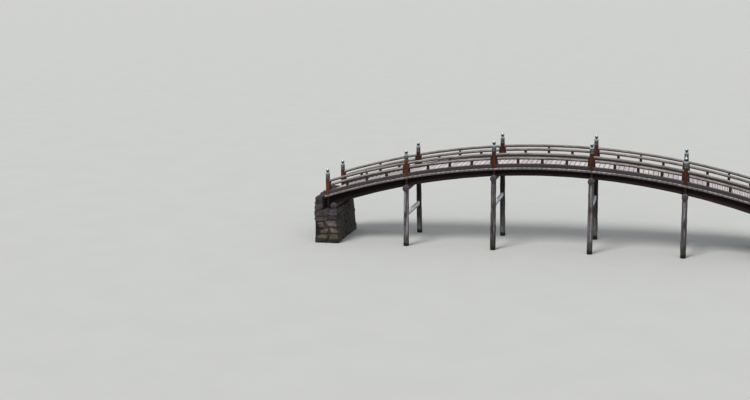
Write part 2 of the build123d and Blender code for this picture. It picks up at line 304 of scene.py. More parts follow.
@dataclass(frozen=True)
class SquaredTimber:
    """A sawn timber: a chamfered section carried along a line, with a little unevenness."""

    section: Section
    seed: int
    grain: Grain = Grain.ALONG
    uneven: float = 0.0015
    ripple: float = 0.7
    pith: float = 0.25
    arch_pitch: float = 0.09
    tone: float | None = None

    def add(self, skin: Skin, path: Array, across: Array, up: Array, depth: Array) -> None:
        """Adds the timber to a skin.

        point(i, j) = path(i) + across * a(i, j) + up(i) * b(i, j), where a and b are the section's
        outline, drawn in by the chamfer at both ends. The grain field is (run, a, b) with a random
        start and with the pith of the tree a random way off.

        Args:
            skin: where it goes.
            path: middle of its underside at each row, (n, 3).
            across: the way its width runs, (3,).
            up: the way its depth runs, (3,) or (n, 3).
            depth: its depth at each row, (n,).
        """
        rng = np.random.default_rng(self.seed)
        a, b, arris = self.section.outline(depth)
        draw = np.zeros(len(path))
        draw[[0, -1]] = self.section.chamfer
        a = a * (1 - draw / (0.5 * self.section.width))[:, None]
        middle = 0.5 * depth[:, None]
        b = middle + (b - middle) * (1 - draw[:, None] / middle)
        up = np.broadcast_to(up, path.shape)
        grid = path[:, None] + across * a[..., None] + up[:, None] * b[..., None]
        run = np.concatenate([[0], np.cumsum(np.linalg.norm(np.diff(path, axis=0), axis=1))])
        local = np.stack([np.broadcast_to(run[:, None], a.shape), a, b - middle], -1)
        local = local[..., list(self.grain.value)]
        angle = rng.uniform(0, 2 * np.pi)
        off = rng.uniform(0.3, 1.0) * self.pith
        start = np.array([rng.uniform(0, GRAIN_REACH), off * math.cos(angle), off * math.sin(angle)])
        grid = Ripple(self.seed * 7 + 3, self.ripple, self.uneven).move(grid)
        ends = np.zeros_like(a)
        ends[[0, -1]] = 1
        tone = rng.uniform() if self.tone is None else self.tone
        ridges = np.maximum(np.broadcast_to(arris, a.shape), ends)
        skin.add_tube(grid, local + start, ridges, tone, b / depth[:, None])

    def rows(self, start: float, end: float, pitch: float) -> Array:
        """Places of the rows between two ends, with close rows at each end for the chamfer.

        Args:
            start: place of the first row.
            end: place of the last row.
            pitch: distance between the rows inside.

        Returns:
            The places, (n,).
        """
        c, m = self.section.chamfer, self.section.margin
        inner = np.linspace(start + m, end - m, max(2, round((end - start) / pitch)))
        return np.concatenate([[start, start + c], inner, [end - c, end]])

    def add_arched(self, skin: Skin, start: float, end: float, y: float, low: Arc, high: Arc) -> None:
        """Adds a timber that runs along X between two arcs in side view.

        Args:
            skin: where it goes.
            start: its start along X.
            end: its end along X.
            y: its place across the bridge.
            low: the arc of its underside.
            high: the arc of its top.
        """
        x = self.rows(start, end, self.arch_pitch)
        path = np.stack([x, np.full_like(x, y), low.height(x)], -1)
        self.add(skin, path, ACROSS, UP, high.height(x) - low.height(x))

    def add_across(
        self, skin: Skin, x: float, z: float, half: float, depth: float, tilt: float, pitch: float
    ) -> None:
        """Adds a timber that runs along Y with its underside at (x, z), its width tilted to a slope.

        Args:
            skin: where it goes.
            x: its place along the bridge.
            z: height of its underside.
            half: half of its length.
            depth: its depth.
            tilt: the slope, in radians.
            pitch: distance between its rows.
        """
        y = self.rows(-half, half, pitch)
        path = np.stack([np.full_like(y, x), y, np.full_like(y, z)], -1)
        across = np.array([math.cos(tilt), 0.0, -math.sin(tilt)])
        up = np.array([math.sin(tilt), 0.0, math.cos(tilt)])
        self.add(skin, path, across, up, np.full(len(y), depth))


@dataclass(frozen=True)
class RoundTimber:
    """A log: a tapering round shape with knots, hollows and a slight wave along its length."""

    start: Array
    end: Array
    start_radius: float
    end_radius: float
    seed: int
    knots: int
    uneven: float
    tone: float = 0.5
    sides: int = 48
    pitch: float = 0.05
    margin: float = 0.02
    bevel: float = 0.006
    ripple: float = 0.16
    knot_clear: float = 0.1
    knot_widths: tuple[float, float] = (0.03, 0.055)
    knot_heights: tuple[float, float] = (0.004, 0.009)
    knot_length: float = 1.6
    hollow_depth: float = 0.7
    hollow_width: float = 0.4

    def add(self, skin: Skin) -> None:
        """Adds the log to a skin.

        point(t, v) = start + (end - start) t + r(t, v) (cos v * p + sin v * q), where r is the taper
        plus a ripple stretched along the log, plus for each knot a swelling exp(-distance^2) with a
        hollow in its middle. A leaning foot is cut level at height 0. The grain field is
        (length * t, r cos v, r sin v).

        Args:
            skin: where it goes.
        """
        rng = np.random.default_rng(self.seed)
        axis = self.end - self.start
        length = float(np.linalg.norm(axis))
        axis = axis / length
        p = np.cross(axis, [0.0, 0.0, 1.0] if abs(axis[2]) < 0.9 else [1.0, 0.0, 0.0])
        p /= np.linalg.norm(p)
        q = np.cross(axis, p)
        inner = np.linspace(self.margin, length - self.margin, max(4, round(length / self.pitch)))
        run = np.concatenate([[0, self.bevel], inner, [length - self.bevel, length]])
        v = np.linspace(0, 2 * np.pi, self.sides, endpoint=False)
        t, v = np.meshgrid(run, v, indexing="ij")
        radius = self.start_radius + (self.end_radius - self.start_radius) * t / length
        ring = np.stack([0.25 * t, radius * np.cos(v), radius * np.sin(v)], -1)
        radius = radius - self.uneven + Ripple(self.seed + 5, self.ripple, self.uneven).at(ring)
        for _ in range(self.knots):
            place = rng.uniform(self.knot_clear, length - self.knot_clear)
            turn = rng.uniform(0, 2 * np.pi)
            wide, high = rng.uniform(*self.knot_widths), rng.uniform(*self.knot_heights)
            gap = np.abs(np.angle(np.exp(1j * (v - turn)))) * self.start_radius
            away = np.sqrt(((t - place) / self.knot_length) ** 2 + gap**2) / wide
            hollow = self.hollow_depth * np.exp(-((away / self.hollow_width) ** 2))
            radius = radius + high * (np.exp(-(away**2)) - hollow)
        draw = np.where((t == 0) | (t == length), self.bevel, 0.0)
        radius = np.minimum(radius, np.maximum(self.start_radius, self.end_radius)) - draw
        outward = p * np.cos(v)[..., None] + q * np.sin(v)[..., None]
        grid = self.start + axis * t[..., None] + outward * radius[..., None]
        grid[..., 2] = np.maximum(grid[..., 2], 0.0)
        grain = np.stack([t + rng.uniform(0, GRAIN_REACH), radius * np.cos(v), radius * np.sin(v)], -1)
        ends = np.where((t <= self.bevel) | (t >= length - self.bevel), 1.0, 0.0)
        skin.add_tube(grid, grain, ends, self.tone, t / length)


@dataclass(frozen=True)
class Turning:
    """A turned shape on an upright axis: a profile of radii and heights."""

    radius: Array
    height: Array
    sides: int = 64
    ripple: float = 0.12

    def add(
        self, skin: Skin, x: float, y: float, base: float, seed: int, uneven: float = 0.0,
        tone: float | None = None,
    ) -> None:
        """Adds the shape to a skin.

        point(i, v) = (x + r(i) cos v, y + r(i) sin v, base + h(i)), with r drawn in by a ripple.

        Args:
            skin: where it goes.
            x: its axis along the bridge.
            y: its axis across the bridge.
            base: height of its foot.
            seed: seed of its unevenness and tone.
            uneven: how far the ripple goes.
            tone: its own shade, or None for one drawn from the seed.
        """
        rng = np.random.default_rng(seed)
        v = np.linspace(0, 2 * np.pi, self.sides, endpoint=False)
        radius, v = np.meshgrid(self.radius, v, indexing="ij")
        height = np.broadcast_to(self.height[:, None], v.shape)
        ring = np.stack([radius * np.cos(v), radius * np.sin(v), 0.3 * height], -1)
        if uneven:
            radius = radius - uneven + Ripple(seed + 9, self.ripple, uneven).at(ring)
        grid = np.stack([x + radius * np.cos(v), y + radius * np.sin(v), base + height], -1)
        grain = np.stack([height + rng.uniform(0, GRAIN_REACH), radius * np.cos(v), radius * np.sin(v)], -1)
        shade = rng.uniform() if tone is None else tone
        skin.add_tube(grid, grain, np.zeros_like(radius), shade, height / self.height[-1])


# Shaders


class Graph:
    """A short way to place and join the nodes of a node tree."""

    def __init__(self, tree: bpy.types.NodeTree) -> None:
        """Takes the tree to work on."""
        self.tree = tree

    def put(self, kind: str, inputs: dict | None = None, **settings: object) -> bpy.types.Node:
        """Places a node.

        Args:
            kind: its type, without the leading ShaderNode.
            inputs: a value or a socket for each input, by name or number.
            settings: its properties.

        Returns:
            The node.
        """
        node = self.tree.nodes.new("ShaderNode" + kind)
        for name, value in settings.items():
            setattr(node, name, value)
        return self.feed(node, inputs or {})

    def feed(self, node: bpy.types.Node, inputs: dict) -> bpy.types.Node:
        """Gives a node's inputs their values or sockets.

        Args:
            node: the node.
            inputs: a value or a socket for each input, by name or number.

        Returns:
            The same node.
        """
        for key, value in inputs.items():
            if isinstance(value, Socket):
                self.tree.links.new(value, node.inputs[key])
            else:
                node.inputs[key].default_value = value
        return node

    def math(self, operation: str, a: Value, b: Value = 0.0, clamp: bool = False) -> Socket:
        """The result of a Math node."""
        return self.put("Math", {0: a, 1: b}, operation=operation, use_clamp=clamp).outputs[0]

    def times(self, a: Value, b: Value) -> Socket:
        """The product of two values."""
        return self.math("MULTIPLY", a, b)

    def up(self, vector: Socket, axis: int = 2) -> Socket:
        """One part of a vector, its height unless another axis is named."""
        return self.put("SeparateXYZ", {0: vector}).outputs[axis]

    def band(self, value: Value, low: float, high: float, bottom: float = 0.0, top: float = 1.0) -> Socket:
        """A value carried smoothly from low..high to bottom..top, and held there."""
        inputs = {"Value": value, "From Min": low, "From Max": high, "To Min": bottom, "To Max": top}
        return self.put("MapRange", inputs, interpolation_type="SMOOTHSTEP").outputs[0]

    def mix(self, share: Value, a: Tint, b: Tint, mode: str = "MIX") -> Socket:
        """Two colours mixed. A colour is three numbers or a socket.

        Args:
            share: share of the second colour.
            a: the first colour.
            b: the second colour.
            mode: how they are blended.

        Returns:
            The mixed colour.
        """
        a, b = (value if isinstance(value, Socket) else (*value, 1.0) for value in (a, b))
        node = self.put("Mix", {0: share, 6: a, 7: b}, data_type="RGBA", blend_type=mode)
        return node.outputs[2]

    def tint(self, colour: Tint, mask: Socket, share: Value, other: Tint) -> Socket:
        """A colour with another laid over it, by a share of a mask."""
        return self.mix(self.times(mask, share), colour, other)

    def layers(self, colour: Tint, *marks: tuple[Socket, Value, Tint]) -> Socket:
        """A colour with others laid over it in turn, each by a share of a mask.

        Args:
            colour: the colour below.
            marks: mask, share and colour of each layer.

        Returns:
            The colour.
        """
        for mask, share, other in marks:
            colour = self.tint(colour, mask, share, other)
        return colour

    def shade(self, colour: Tint, light: Socket) -> Socket:
        """A colour times a value."""
        grey = self.put("CombineColor", {0: light, 1: light, 2: light}).outputs[0]
        return self.mix(1.0, colour, grey, "MULTIPLY")

    def stretch(self, vector: Socket, factors: Colour) -> Socket:
        """A vector multiplied by three factors."""
        return self.put("VectorMath", {0: vector, 1: factors}, operation="MULTIPLY").outputs[0]

    def noise(
        self, vector: Socket, scale: Value, detail: float = 3.0, rough: float = 0.55, warp: float = 0.0
    ) -> Socket:
        """The height of a Noise Texture."""
        inputs = {"Vector": vector, "Scale": scale, "Detail": detail, "Roughness": rough, "Distortion": warp}
        return self.put("TexNoise", inputs).outputs["Fac"]

    def attribute(self, name: str, output: str = "Fac") -> Socket:
        """An attribute of the mesh."""
        return self.put("Attribute", attribute_name=name).outputs[output]


class Effect:
    """A shader node group with named inputs and outputs, built once and placed in many materials."""

    made: dict[str, bpy.types.NodeTree] = {}

    def __init__(self, name: str, inputs: dict[str, object], outputs: list[str]) -> None:
        """Starts the group.

        Args:
            name: its name.
            inputs: default of each input, a number or three of them for a vector.
            outputs: names of the outputs, each a mask from 0 to 1.
        """
        self.tree = bpy.data.node_groups.new(name, "ShaderNodeTree")
        for key, value in inputs.items():
            kind = "NodeSocketFloat" if isinstance(value, float) else "NodeSocketVector"
            self.tree.interface.new_socket(key, in_out="INPUT", socket_type=kind).default_value = value
        for key in outputs:
            self.tree.interface.new_socket(key, in_out="OUTPUT", socket_type="NodeSocketFloat")
        self.graph = Graph(self.tree)
        self.source = self.tree.nodes.new("NodeGroupInput").outputs
        self.result = self.tree.nodes.new("NodeGroupOutput").inputs
        Effect.made[name] = self.tree

    def give(self, name: str, socket: Socket) -> None:
        """Joins a socket to an output of the group."""
        self.tree.links.new(socket, self.result[name])

    @staticmethod
    def place(graph: Graph, name: str, inputs: dict) -> Outputs:
        """Places the group in a material and returns its outputs.

        Args:
            graph: the material's graph.
            name: the group's name.
            inputs: a value or a socket for each input.

        Returns:
            The group's outputs.
        """
        node = graph.tree.nodes.new("ShaderNodeGroup")
        node.node_tree = Effect.made[name]
        return graph.feed(node, inputs).outputs


def make_timber_grain() -> None:
    """Growth rings round a pith, fibres, streaks, drying checks, knots and broad patches of shade."""
    effect = Effect(
        "timber_grain",
        {"Grain": (0.0, 0.0, 0.0), "Ring Width": 0.012},
        ["Rings", "Fibre", "Streaks", "Checks", "Knots", "Patches"],
    )
    g, grain = effect.graph, effect.source["Grain"]
    warp = g.noise(g.stretch(grain, (0.9, 5.0, 5.0)), 1.0, 2.0)
    parts = g.put("SeparateXYZ", {0: grain}).outputs
    square = g.math("ADD", g.times(parts[1], parts[1]), g.times(parts[2], parts[2]))
    reach = g.math("ADD", g.math("SQRT", square), g.times(warp, 0.05))
    turns = g.times(g.math("DIVIDE", reach, effect.source["Ring Width"]), 2 * math.pi)
    rings = g.math("MULTIPLY_ADD", g.math("SINE", turns), 0.5)
    rings.node.inputs[2].default_value = 0.5
    effect.give("Rings", g.math("POWER", rings, 1.6))
    effect.give("Fibre", g.noise(g.stretch(grain, (5.0, 150.0, 150.0)), 1.0, 3.0, 0.6))
    streaks = g.noise(g.stretch(grain, (0.7, 21.0, 21.0)), 1.0, 3.0, 0.6, 0.2)
    effect.give("Streaks", g.band(streaks, 0.42, 0.6))
    patches = g.noise(g.stretch(grain, (1.4, 6.0, 6.0)), 1.0, 3.0, 0.55, 0.4)
    effect.give("Patches", g.band(patches, 0.32, 0.68))
    lines = g.noise(g.stretch(grain, (1.3, 34.0, 34.0)), 1.0, 2.0, 0.5, 0.3)
    thin = g.math("ABSOLUTE", g.math("SUBTRACT", lines, 0.5))
    some = g.band(g.noise(g.stretch(grain, (2.0, 9.0, 9.0)), 1.0, 1.0), 0.48, 0.6)
    effect.give("Checks", g.times(g.band(thin, 0.012, 0.002), some))
    spots = {"Vector": g.stretch(grain, (1.5, 5.5, 5.5)), "Scale": 1.0}
    effect.give("Knots", g.band(g.put("TexVoronoi", spots).outputs["Distance"], 0.13, 0.05))


def make_weathering() -> None:
    """Faces turned to the sky, rubbed arrises, grime and painted shade on faces turned down, and cut ends."""
    effect = Effect(
        "weathering",
        {"Normal": (0.0, 0.0, 1.0), "Place": (0.0, 0.0, 0.0), "Arris": 0.0, "Detail": 9.0},
        ["Sky", "Rubbed", "Grime And Shade", "Ends"],
    )
    g, source = effect.graph, effect.source
    upwards, across = g.up(source["Normal"]), g.up(source["Normal"], 1)
    patchy = g.noise(source["Place"], source["Detail"], 4.0, 0.6)
    effect.give("Sky", g.band(g.math("ADD", upwards, g.times(patchy, 0.5)), 0.35, 0.95))
    effect.give("Rubbed", g.band(g.math("ADD", source["Arris"], g.times(patchy, 0.9)), 0.75, 1.35))
    # Faces turned down are darker: partly grime, partly painted shade under things.
    effect.give("Grime And Shade", g.band(g.math("SUBTRACT", g.times(patchy, 0.7), upwards), 0.1, 1.1))
    effect.give("Ends", g.band(g.math("ABSOLUTE", across), 0.85, 0.97))


def make_waterline() -> None:
    """A wet dark foot, then a green film, a broad brown stain, and runs down from the top."""
    effect = Effect("waterline", {"Place": (0.0, 0.0, 0.0), "Level": 0.16}, ["Wet", "Film", "Stain", "Runs"])
    g, source = effect.graph, effect.source
    height = g.up(source["Place"])
    broad = g.noise(g.stretch(source["Place"], (7.0, 7.0, 2.0)), 1.0)
    edge = g.math("SUBTRACT", height, g.times(broad, 0.22))
    above = g.math("SUBTRACT", edge, source["Level"])
    effect.give("Wet", g.band(above, 0.03, -0.06))
    effect.give("Film", g.times(g.band(above, 0.45, 0.2), g.band(broad, 0.15, 0.4)))
    effect.give("Stain", g.times(g.band(above, 2.3, 0.8), g.band(broad, 0.3, 0.55)))
    effect.give("Runs", g.band(g.noise(g.stretch(source["Place"], (28.0, 28.0, 1.2)), 1.0, 4.0), 0.4, 0.68))


def make_stone_face() -> None:
    """Broad clouds, fine speckle, lichen spots and the relief of a rough split face."""
    effect = Effect(
        "stone_face", {"Place": (0.0, 0.0, 0.0), "Tone": 0.5}, ["Clouds", "Speckle", "Lichen", "Relief"]
    )
    g, source = effect.graph, effect.source
    shift = g.put("CombineXYZ", {0: g.times(source["Tone"], 37.0)}).outputs[0]
    place = g.put("VectorMath", {0: source["Place"], 1: shift}, operation="ADD").outputs[0]
    clouds = g.noise(place, 4.0, 4.0, 0.6, 0.5)
    effect.give("Clouds", g.band(clouds, 0.3, 0.7))
    effect.give("Speckle", g.band(g.noise(place, 90.0, 2.0, 0.7), 0.42, 0.62))
    lichen = g.noise(place, 17.0, 5.0, 0.65, 0.6)
    effect.give("Lichen", g.times(g.band(lichen, 0.56, 0.64), g.band(clouds, 0.4, 0.6)))
    edges = g.put("TexVoronoi", {"Vector": place, "Scale": 7.0}, feature="DISTANCE_TO_EDGE")
    cracks = g.band(edges.outputs["Distance"], 0.0, 0.12)
    rough = g.noise(place, 24.0, 6.0, 0.7)
    effect.give("Relief", g.math("ADD", g.times(cracks, 0.35), rough, clamp=True))


def make_patina() -> None:
    """Clouds of tarnish, pale bloom in drips, and small pits on old metal."""
    effect = Effect("patina", {"Place": (0.0, 0.0, 0.0)}, ["Clouds", "Bloom", "Pits"])
    g, place = effect.graph, effect.source["Place"]
    effect.give("Clouds", g.band(g.noise(place, 14.0, 4.0, 0.6, 0.6), 0.35, 0.65))
    drips = g.noise(g.stretch(place, (55.0, 55.0, 9.0)), 1.0, 4.0, 0.6)
    effect.give("Bloom", g.band(drips, 0.5, 0.68))
    effect.give("Pits", g.band(g.noise(place, 160.0, 3.0, 0.6), 0.55, 0.75))


@dataclass(frozen=True)
class Surface:
    """The start of a material: its node tree, its shader and the fields that every finish reads."""

    material: Material
    graph: Graph
    shader: bpy.types.Node
    place: Socket
    normal: Socket

    @classmethod
    def named(cls, name: str) -> "Surface":
        """A new material with a Principled shader.

        Args:
            name: the material's name.

        Returns:
            The start of the material.
        """
        material = bpy.data.materials.new(name)
        material.use_nodes = True
        material.node_tree.nodes.clear()
        graph = Graph(material.node_tree)
        shader = graph.put("BsdfPrincipled")
        output = graph.put("OutputMaterial", {"Surface": shader.outputs[0]})
        output.is_active_output = True
        place = graph.put("TexCoord").outputs["Object"]
        return cls(material, graph, shader, place, graph.put("NewGeometry").outputs["Normal"])

    def weather(self, arris: Value, detail: float) -> Outputs:
        """The masks of the weathering group, with patches of the given fineness."""
        inputs = {"Normal": self.normal, "Place": self.place, "Arris": arris, "Detail": detail}
        return Effect.place(self.graph, "weathering", inputs)

    def join(
        self, colour: Socket, roughness: Socket, height: Socket | None = None,
        distance: float = 0.002, strength: float = 0.6,
    ) -> None:
        """Joins colour, roughness and the height of a bump to the shader.

        Args:
            colour: its colour.
            roughness: its roughness.
            height: height of its relief, or None for a smooth surface.
            distance: depth of the relief in metres.
            strength: strength of the relief.
        """
        inputs = {"Base Color": colour, "Roughness": roughness}
        if height is not None:
            bump = self.graph.put("Bump", {"Height": height, "Distance": distance, "Strength": strength})
            inputs["Normal"] = bump.outputs[0]
        self.graph.feed(self.shader, inputs)


@dataclass(frozen=True)
class Fields:
    """What the steps of a timber finish read: the graph, the effects' masks and the piece's own fields."""

    g: Graph
    place: Socket
    grain: Outputs
    weather: Outputs
    tone: Socket
    arris: Socket
    rise: Socket


@dataclass(frozen=True)
class WaterMarks:
    """What standing in water leaves on a pile, from runs at the top to a dark wet foot.

    A pile whose tone lies below the sheltered band stands in the bridge's own shade: it gets painted
    shadow above and painted light below. The others have a brown stain, strongest on those of
    middling tone.
    """

    level: float = 0.09
    sheltered: tuple[float, float] = (0.48, 0.42)
    # Colour of the painted shadow on a sheltered pile's upper part.
    painted_shadow: Colour = rgb(18, 17, 19)
    stain: Colour = rgb(42, 36, 28)
    film: Colour = rgb(44, 44, 33)
    # Colour of the painted light on a sheltered pile's lower part.
    painted_light: Colour = rgb(146, 147, 140)
    wet: Colour = rgb(14, 16, 12)

    def add(self, f: Fields, colour: Socket, dark: Colour) -> tuple[Socket, Socket]:
        """Lays the marks over a colour.

        Args:
            f: what the finish reads.
            colour: the colour so far.
            dark: the colour of the runs.

        Returns:
            The new colour, and the mask of the wet foot.
        """
        g = f.g
        line = Effect.place(g, "waterline", {"Place": f.place, "Level": self.level})
        inside = g.band(f.tone, *self.sheltered)
        # Painted shadow high on the sheltered piles and painted light low down on them.
        painted_shadow = g.times(g.band(f.rise, 0.3, 0.8), inside)
        painted_light = g.times(g.band(f.rise, 0.45, 0.1), inside)
        painted_light = g.times(painted_light, g.band(line["Runs"], 0.0, 1.0, 0.35, 1.0))
        painted_light = g.times(painted_light, g.band(f.grain["Fibre"], 0.35, 0.65, 0.55, 1.0))
        stain = g.times(line["Stain"], g.band(f.tone, 0.95, 0.5))
        marks = (
            (line["Runs"], 0.3, dark), (painted_shadow, 0.85, self.painted_shadow), (stain, 0.9, self.stain),
            (line["Film"], 0.7, self.film), (painted_light, 0.9, self.painted_light), (line["Wet"], 0.95, self.wet),
        )
        return g.layers(colour, *marks), line["Wet"]


@dataclass(frozen=True)
class TimberFinish:
    """Weathered timber, bare or with the rest of a coat of paint.

    The wood goes from fresh to dark with its rings. Faces turned to the sky are bleached, and the
    shoulders, the upper parts of side faces, get painted light. Their lower parts get another colour:
    painted shade on the rails and ties, painted light below the deck's shadow on the girders. Seams
    are the dark long edges of planks, and cut is the colour of end grain, which also covers timbers
    that lie across the bridge further out than ends_from.
    """

    name: str
    fresh: Colour
    dark: Colour
    bleached: Colour
    cut: Colour | None = None
    bleach: float = 0.8
    cover: float = 0.35
    ring_width: float = 0.014
    ring_share: float = 0.5
    fibre_share: float = 0.55
    check_share: float = 0.85
    knot_share: float = 0.55
    tones: tuple[float, float] = (0.6, 1.15)
    streak: Colour | None = None
    streak_share: float = 0.0
    shoulder_light: float = 0.0
    lower_light_and_shade: Colour | None = None
    seams: float = 0.0
    rubbed: float = 0.4
    grime_and_shade: float = 0.5
    paint: Colour | None = None
    paint_left: float = 0.62
    water: WaterMarks | None = None
    ends_from: float | None = None
    roughness: float = 0.78
    specular: float = 0.2
    relief: float = 0.003

    def wood(self, f: Fields) -> Socket:
        """The colour of the bare wood: rings, with paler or darker streaks along the grain.

        Args:
            f: what the finish reads.

        Returns:
            The colour.
        """
        colour = f.g.tint(self.fresh, f.grain["Rings"], self.ring_share, self.dark)
        if self.streak is None:
            return colour
        return f.g.tint(colour, f.grain["Streaks"], self.streak_share, self.streak)

    def painted(self, f: Fields, colour: Socket) -> Socket:
        """The colour under what is left of the paint, worn off along fibres and on rubbed arrises.

        Args:
            f: what the finish reads.
            colour: the colour so far.

        Returns:
            The new colour.
        """
        g, grain = f.g, f.grain
        worn = g.math("ADD", g.times(f.weather["Rubbed"], 0.5), g.times(grain["Fibre"], 0.9))
        worn = g.math("SUBTRACT", worn, g.times(grain["Patches"], 0.35))
        left = g.band(worn, self.paint_left + 0.12, self.paint_left - 0.22)
        paint = g.mix(g.band(grain["Patches"], 0.2, 0.7), darker(self.paint, 0.4), self.paint)
        return g.mix(left, colour, g.tint(paint, grain["Streaks"], 0.8, darker(self.paint, 0.3)))

    def weathered(self, f: Fields, colour: Socket) -> Socket:
        """The colour after bleaching above, painted light and shade on side faces, rubbing on arrises,
        grime and painted shade below, and dirt in the seams.

        Args:
            f: what the finish reads.
            colour: the colour so far.

        Returns:
            The new colour.
        """
        g, weather = f.g, f.weather
        # The lower parts of side faces: painted shade on rails and ties, painted light on girders below the
        # deck's shadow.
        if self.lower_light_and_shade is not None:
            colour = g.mix(g.band(f.rise, 0.5, 0.2), colour, self.lower_light_and_shade)
        sky = weather["Sky"]
        # Painted light on the shoulders, the upper parts of side faces.
        if self.shoulder_light:
            sky = g.math("MAXIMUM", sky, g.times(g.band(f.rise, 0.3, 0.5), self.shoulder_light))
        sky = g.times(sky, g.band(f.grain["Patches"], 0.0, 1.0, self.cover, 1.0))
        rubbed = (weather["Rubbed"], self.rubbed, self.bleached)
        colour = g.layers(colour, (sky, self.bleach, self.bleached), rubbed)
        if self.cut is not None:
            colour = g.mix(weather["Ends"], colour, self.cut)
        if self.ends_from is not None:
            out = g.math("ABSOLUTE", g.up(f.place, 1))
            colour = g.mix(g.band(out, self.ends_from, self.ends_from + 0.05), colour, self.cut)
        if self.seams:
            colour = g.tint(colour, f.arris, self.seams, self.dark)
        # Grime and painted shade on faces turned down.
        return g.tint(colour, weather["Grime And Shade"], self.grime_and_shade, darker(self.dark, 0.5))

    def shaded(self, f: Fields, colour: Socket) -> Socket:
        """The colour times the shade of fibres and of the piece, with dark checks and knots.

        Args:
            f: what the finish reads.
            colour: the colour so far.

        Returns:
            The new colour.
        """
        g, grain = f.g, f.grain
        colour = g.shade(colour, g.band(grain["Fibre"], 0.35, 0.65, 1.0 - self.fibre_share, 1.0))
        colour = g.shade(colour, g.band(f.tone, 0, 1, *self.tones))
        checks = (grain["Checks"], self.check_share, darker(self.dark, 0.25))
        return g.layers(colour, checks, (grain["Knots"], self.knot_share, self.dark))

    def build(self) -> Material:
        """Makes the material.

        Returns:
            The material: bare wood from the piece's own grain field, then paint, weather, shade and,
            on timbers that stand in water, the marks that it leaves.
        """
        surface = Surface.named(self.name)
        g = surface.graph
        surface.shader.inputs["Specular IOR Level"].default_value = self.specular
        tone, arris = g.attribute("tone"), g.attribute("arris")
        inputs = {"Grain": g.attribute("grain", "Vector"), "Ring Width": self.ring_width}
        grain = Effect.place(g, "timber_grain", inputs)
        weather = surface.weather(arris, 9.0)
        f = Fields(g, surface.place, grain, weather, tone, arris, g.attribute("rise"))
        colour = self.wood(f)
        if self.paint is not None:
            colour = self.painted(f, colour)
        colour = self.shaded(f, self.weathered(f, colour))
        rough = g.band(grain["Fibre"], 0.3, 0.7, self.roughness - 0.08, self.roughness + 0.1)
        if self.water is not None:
            colour, wet = self.water.add(f, colour, self.dark)
            rough = g.math("SUBTRACT", rough, g.times(wet, 0.4))
        height = g.times(grain["Rings"], 0.3)
        for mask, share in (("Fibre", 0.6), ("Checks", -1.6), ("Knots", -0.4)):
            height = g.math("ADD", height, g.times(grain[mask], share))
        surface.join(colour, rough, height, self.relief)
        return surface.material


@dataclass(frozen=True)
class PatinaFinish:
    """Old bronze with a blue-grey tarnish and paler bloom, with a painted highlight above and painted shade
    below.
    """

    name: str = "patinated_bronze"
    tarnish: Colour = rgb(68, 82, 84)
    dark: Colour = rgb(36, 43, 47)
    bloom: Colour = rgb(136, 152, 150)
    # Colour of the painted highlight.
    painted_light: Colour = rgb(206, 216, 218)

    def build(self) -> Material:
        """Makes the material: tarnish in clouds, bloom in drips, a painted highlight on the knob and
        collar, and painted shade in the throat.

        Returns:
            The material.
        """
        surface = Surface.named(self.name)
        g = surface.graph
        patina = Effect.place(g, "patina", {"Place": surface.place})
        rise = g.attribute("rise")
        # Painted highlight on the collar and on the knob's upward faces, and painted shade in the throat
        # under the knob.
        collar_highlight = g.times(g.band(rise, 0.38, 0.46), g.band(rise, 0.58, 0.54))
        throat_shade = g.times(g.band(rise, 0.55, 0.59), g.band(rise, 0.8, 0.68))
        weather = surface.weather(0.0, 40.0)
        painted_light = g.times(weather["Sky"], g.band(rise, 0.6, 0.66, 0.15, 1.0))
        painted_light = g.math("MAXIMUM", painted_light, g.times(collar_highlight, 0.7))
        colour = g.layers(
            g.mix(patina["Clouds"], self.dark, self.tarnish), (patina["Bloom"], 0.6, self.bloom),
            (patina["Pits"], 0.4, self.dark), (painted_light, 0.85, self.painted_light),
            (throat_shade, 0.85, darker(self.dark, 0.3)),
        )
        rough = g.band(patina["Bloom"], 0.0, 1.0, 0.38, 0.6)
        metal = g.band(patina["Bloom"], 0.0, 1.0, 0.45, 0.2)
        g.feed(surface.shader, {"Metallic": metal})
        surface.join(colour, rough, g.math("SUBTRACT", patina["Clouds"], patina["Pits"]), 0.0006)
        return surface.material


